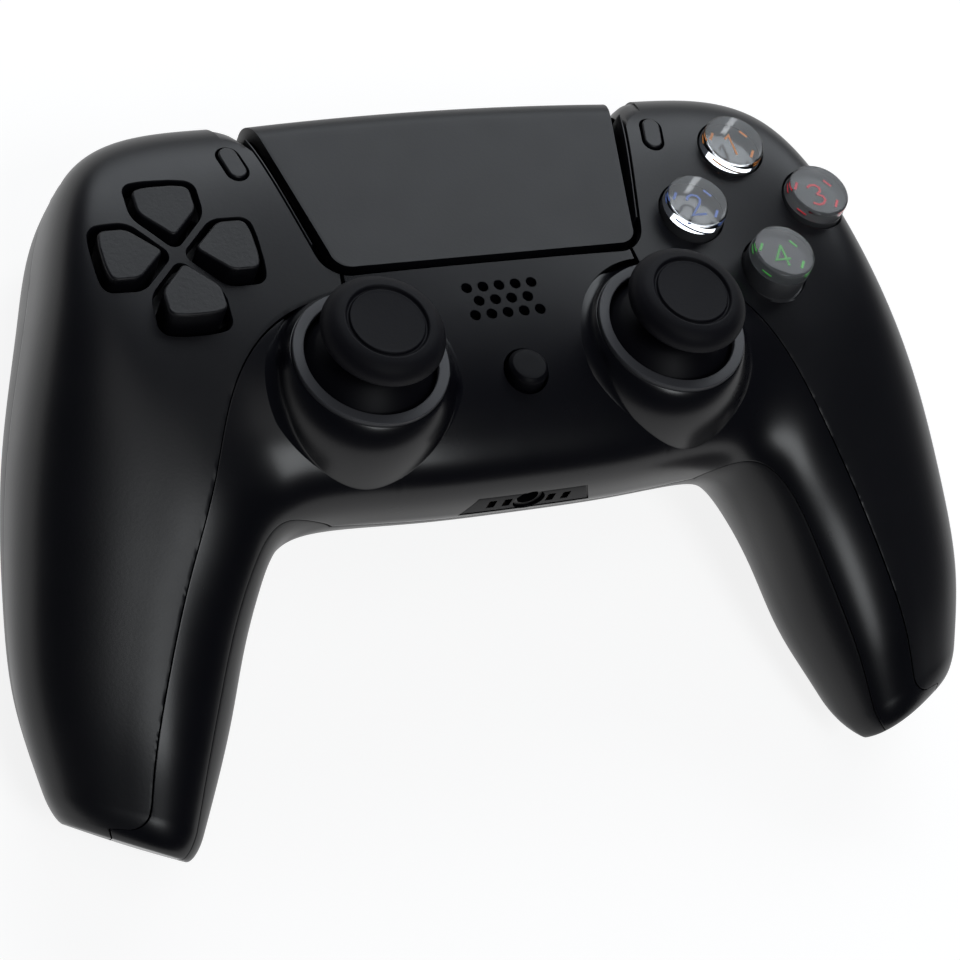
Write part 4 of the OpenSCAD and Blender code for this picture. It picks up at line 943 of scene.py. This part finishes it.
def make_stick(side, name):
    x, y, middle = side * STICK[0], STICK[1], STICK[2]
    body = f"{name}_stick"
    mid_r, in_r, foot = RIM_R - 0.9, RIM_R - 1.7, RIM_Z - 1.3
    rim = [(mid_r, foot), (RIM_R, foot), (RIM_R, RIM_Z), (in_r, RIM_Z), (in_r, foot), (mid_r, foot)]
    bm = spun(eased(rim, 0.22, 4)[:-1], (x, y, 0), 128)
    piece(f"{name}_rim", bm, "case", "ring_grey", [f"{body}_ring"])
    plug = CAP_LOW + SOCKET_H
    outside = eased([(r, CAP_LOW + z) for r, z in CAP_OUTSIDE], 0.5, 5)
    cap = [(0, plug), (SOCKET_R, plug), (SOCKET_R, CAP_LOW)] + outside
    piece(f"{name}_thumb_cap", spun(cap, (x, y, 0), 128), body, "thumb_rubber", [f"{body}_cap"])
    neck = eased([(4.95, 2.45), (STEM_R, 3.3), (STEM_R, CAP_LOW), (SOCKET_R, CAP_LOW), (SOCKET_R, plug),
                  (0, plug)], 0.25, 3)
    stem = ([(0, middle - 2), (2, middle - 2)] + dome_line(DOME_IN_R, 9.5, DOME_EDGE)
            + dome_line(DOME_R, DOME_EDGE, 24) + neck)
    axle = rod(AXLE_R, (x, y - AXLE_HALF, middle), (x, y + AXLE_HALF, middle), 24)
    bm = together([spun(stem, (x, y, 0), 128), axle])
    piece(f"{body}_dome", bm, body, "stem_black", [f"{body}_stem"])


# Shoulders
def make_bumper(side, name):
    along = np.linspace(*BUMPER_ROWS, 61)
    u = np.repeat(along[:, None], 25, 1)
    a = np.stack([np.linspace(*[seam_angle(k, angle) for angle in BUMPER_ANGLES], 25) for k in along])
    bm = draped(skin(side * u, a, BUMPER_SINK), skin(side * u, a, BUMPER_DEPTH))
    soften(bm, 0.7, 4, 55)
    x, y = side * LUG_PLACE[0], LUG_PLACE[1]
    lug = rod(LUG_R, (x, y, LUG_Z[0]), (x, y, LUG_Z[1]), 40)
    piece(f"{name}_bumper_bar", together([bm, lug]), f"{name}_bumper", "key_black", [f"{name}_bumper"])


# A trigger's outline from the side, in Y and Z, and its front edge in plan, as places across and Y
TRIGGER_SIDE = [(8, -16.9), (17.6, -17), (19.6, -20), (20.7, -24), (21.2, -28), (21.8, -31.2), (23, -33.6),
                (22.4, -34.3), (20, -34.4), (15, -33.4), (10.5, -31.9), (6.2, -20.9), (5.9, -18.4)]
TRIGGER_PLAN = ([0, 3, TRIGGER_W * 0.5, TRIGGER_W * 0.8, TRIGGER_W], [22, 23.5, 23.5, 22, 19])


def make_trigger(side, name):
    outline = even(rounded(TRIGGER_SIDE, 0.9, 4), 0.5)
    outward = outward_from(outline)
    bend = np.linspace(0, math.pi / 2, 7)[:-1]
    end, end_back = TRIGGER_EDGE * (1 - np.cos(bend)), TRIGGER_EDGE * (1 - np.sin(bend))
    middle = TRIGGER_EDGE + (TRIGGER_W - 2 * TRIGGER_EDGE) * np.linspace(0, 1, 30)[1:-1]
    across = np.concatenate([end, middle, TRIGGER_W - end[::-1]])
    backs = np.concatenate([end_back, 0 * middle, end_back[::-1]])
    rings = []
    for x, back in zip(across, backs):
        y, z = (outline - outward * back).T
        front = np.interp(x, *TRIGGER_PLAN)
        y = front - TRIGGER_SOFT * np.log1p(np.exp((front - y) / TRIGGER_SOFT))
        floor = TRIGGER_FLOOR + np.clip(x - (TRIGGER_W - FLOOR_START), 0, 9) * FLOOR_RISE
        near = np.clip((16.5 - y) / 1.5, 0, 1)
        z = np.where(z < floor, z * (1 - near) + floor * near, z)
        rings.append(np.column_stack([np.full(len(y), side * (TRIGGER_X + x)), y, z]))
    body = f"{name}_trigger"
    piece(f"{body}_lever", lofted(rings), body, "key_black", [body], sharp=40)


make_wings()
make_trim()
make_back()
make_touchpad()
for number, name in enumerate(BUTTONS, 1):
    make_button(name, number)
make_keys()
for side, name in SIDES:
    make_menu_button(side, name)
make_home()
for side, name in SIDES:
    make_light_guide(side, name)
    make_stick(side, name)
    make_bumper(side, name)
    make_trigger(side, name)

# Solids that stay as they are take the finish of their own slot
for part in frame["record"]["subparts"]:
    obj = nodes.get(part.get("node"))
    if obj is not None:
        obj.data.materials.clear()
        obj.data.materials.append(FINISH[part["material_slot"]])


# Table, light and camera
def make_stage():
    """A table top, pale to the camera and in reflections, plain grey to all other light."""
    bm = bmesh.new()
    bmesh.ops.create_grid(bm, x_segments=4, y_segments=4, size=40.0)
    floor = to_object(bm, "table_top")
    finish = bpy.data.materials.new("pale_table")
    finish.use_nodes = True
    tree = finish.node_tree
    surface = tree.nodes["Principled BSDF"]
    surface.inputs["Base Color"].default_value = (0.30, 0.30, 0.30, 1)
    surface.inputs["Roughness"].default_value = 0.9
    surface.inputs["Specular IOR Level"].default_value = 0.0
    path = tree.nodes.new("ShaderNodeLightPath")
    seen = path.outputs["Is Camera Ray"]
    for ray in ("Is Glossy Ray", "Is Transmission Ray"):
        either = tree.nodes.new("ShaderNodeMath")
        either.operation = "MAXIMUM"
        tree.links.new(seen, either.inputs[0])
        tree.links.new(path.outputs[ray], either.inputs[1])
        seen = either.outputs[0]
    glow = tree.nodes.new("ShaderNodeEmission")
    glow.inputs["Strength"].default_value = 0.86
    both = tree.nodes.new("ShaderNodeAddShader")
    tree.links.new(surface.outputs["BSDF"], both.inputs[0])
    tree.links.new(glow.outputs["Emission"], both.inputs[1])
    choice = tree.nodes.new("ShaderNodeMixShader")
    tree.links.new(seen, choice.inputs["Fac"])
    tree.links.new(surface.outputs["BSDF"], choice.inputs[1])
    tree.links.new(both.outputs["Shader"], choice.inputs[2])
    tree.links.new(choice.outputs["Shader"], tree.nodes["Material Output"].inputs["Surface"])
    floor.data.materials.append(finish)


def lamp(name, way, distance, size, power, tint=(1, 1, 1)):
    """A soft box in a direction from the face, aimed at the controller."""
    light = bpy.data.lights.new(name, "AREA")
    light.shape, light.size, light.size_y = "RECTANGLE", size[0], size[1]
    light.energy, light.color = power, tint
    obj = bpy.data.objects.new(name, light)
    scene.collection.objects.link(obj)
    aim = TABLE @ Vector((0, -25, -10))
    obj.location = aim + TURN @ Vector(way).normalized() * distance
    obj.rotation_euler = (aim - obj.location).to_track_quat("-Z", "Y").to_euler()


def make_light():
    world = bpy.data.worlds.new("studio")
    scene.world = world
    world.use_nodes = True
    world.node_tree.nodes["Background"].inputs["Color"].default_value = (0.80, 0.86, 1.0, 1)
    world.node_tree.nodes["Background"].inputs["Strength"].default_value = 0.06
    lamp("back", (0.341, 0.674, 0.654), 0.914, (1.094, 0.45), 4.8, (0.90, 0.95, 1.0))
    lamp("over", (-0.05, -0.20, 0.98), 0.9, (0.45, 0.45), 0.45)
    lamp("front", (0.07, -0.67, 0.74), 1.0, (0.28, 0.42), 2.2, (0.95, 0.98, 1.0))


# The camera's axes and place in the face's frame, and its focal length and picture width in pixels
ACROSS = Vector((0.90394565, -0.31222503, 0.29222900))
UPRIGHT = Vector((0.11538113, 0.83606229, 0.53636465))
BACK = Vector((-0.41178812, -0.45112678, 0.79177975))
STAND = ACROSS * 2.602 + UPRIGHT * -46.135 + BACK * 416.975
FOCUS, PICTURE, SENSOR = 2667.6, 960, 36.0


def make_camera():
    lens = bpy.data.cameras.new("view")
    lens.sensor_fit, lens.sensor_width, lens.lens = "HORIZONTAL", SENSOR, FOCUS / PICTURE * SENSOR
    lens.clip_start = 0.01
    obj = bpy.data.objects.new("view", lens)
    scene.collection.objects.link(obj)
    turn = TURN @ Matrix((ACROSS, UPRIGHT, BACK)).transposed()
    obj.matrix_world = Matrix.Translation(TABLE @ STAND) @ turn.to_4x4()
    scene.camera = obj


make_stage()
make_light()
make_camera()
scene.view_settings.view_transform = "Standard"
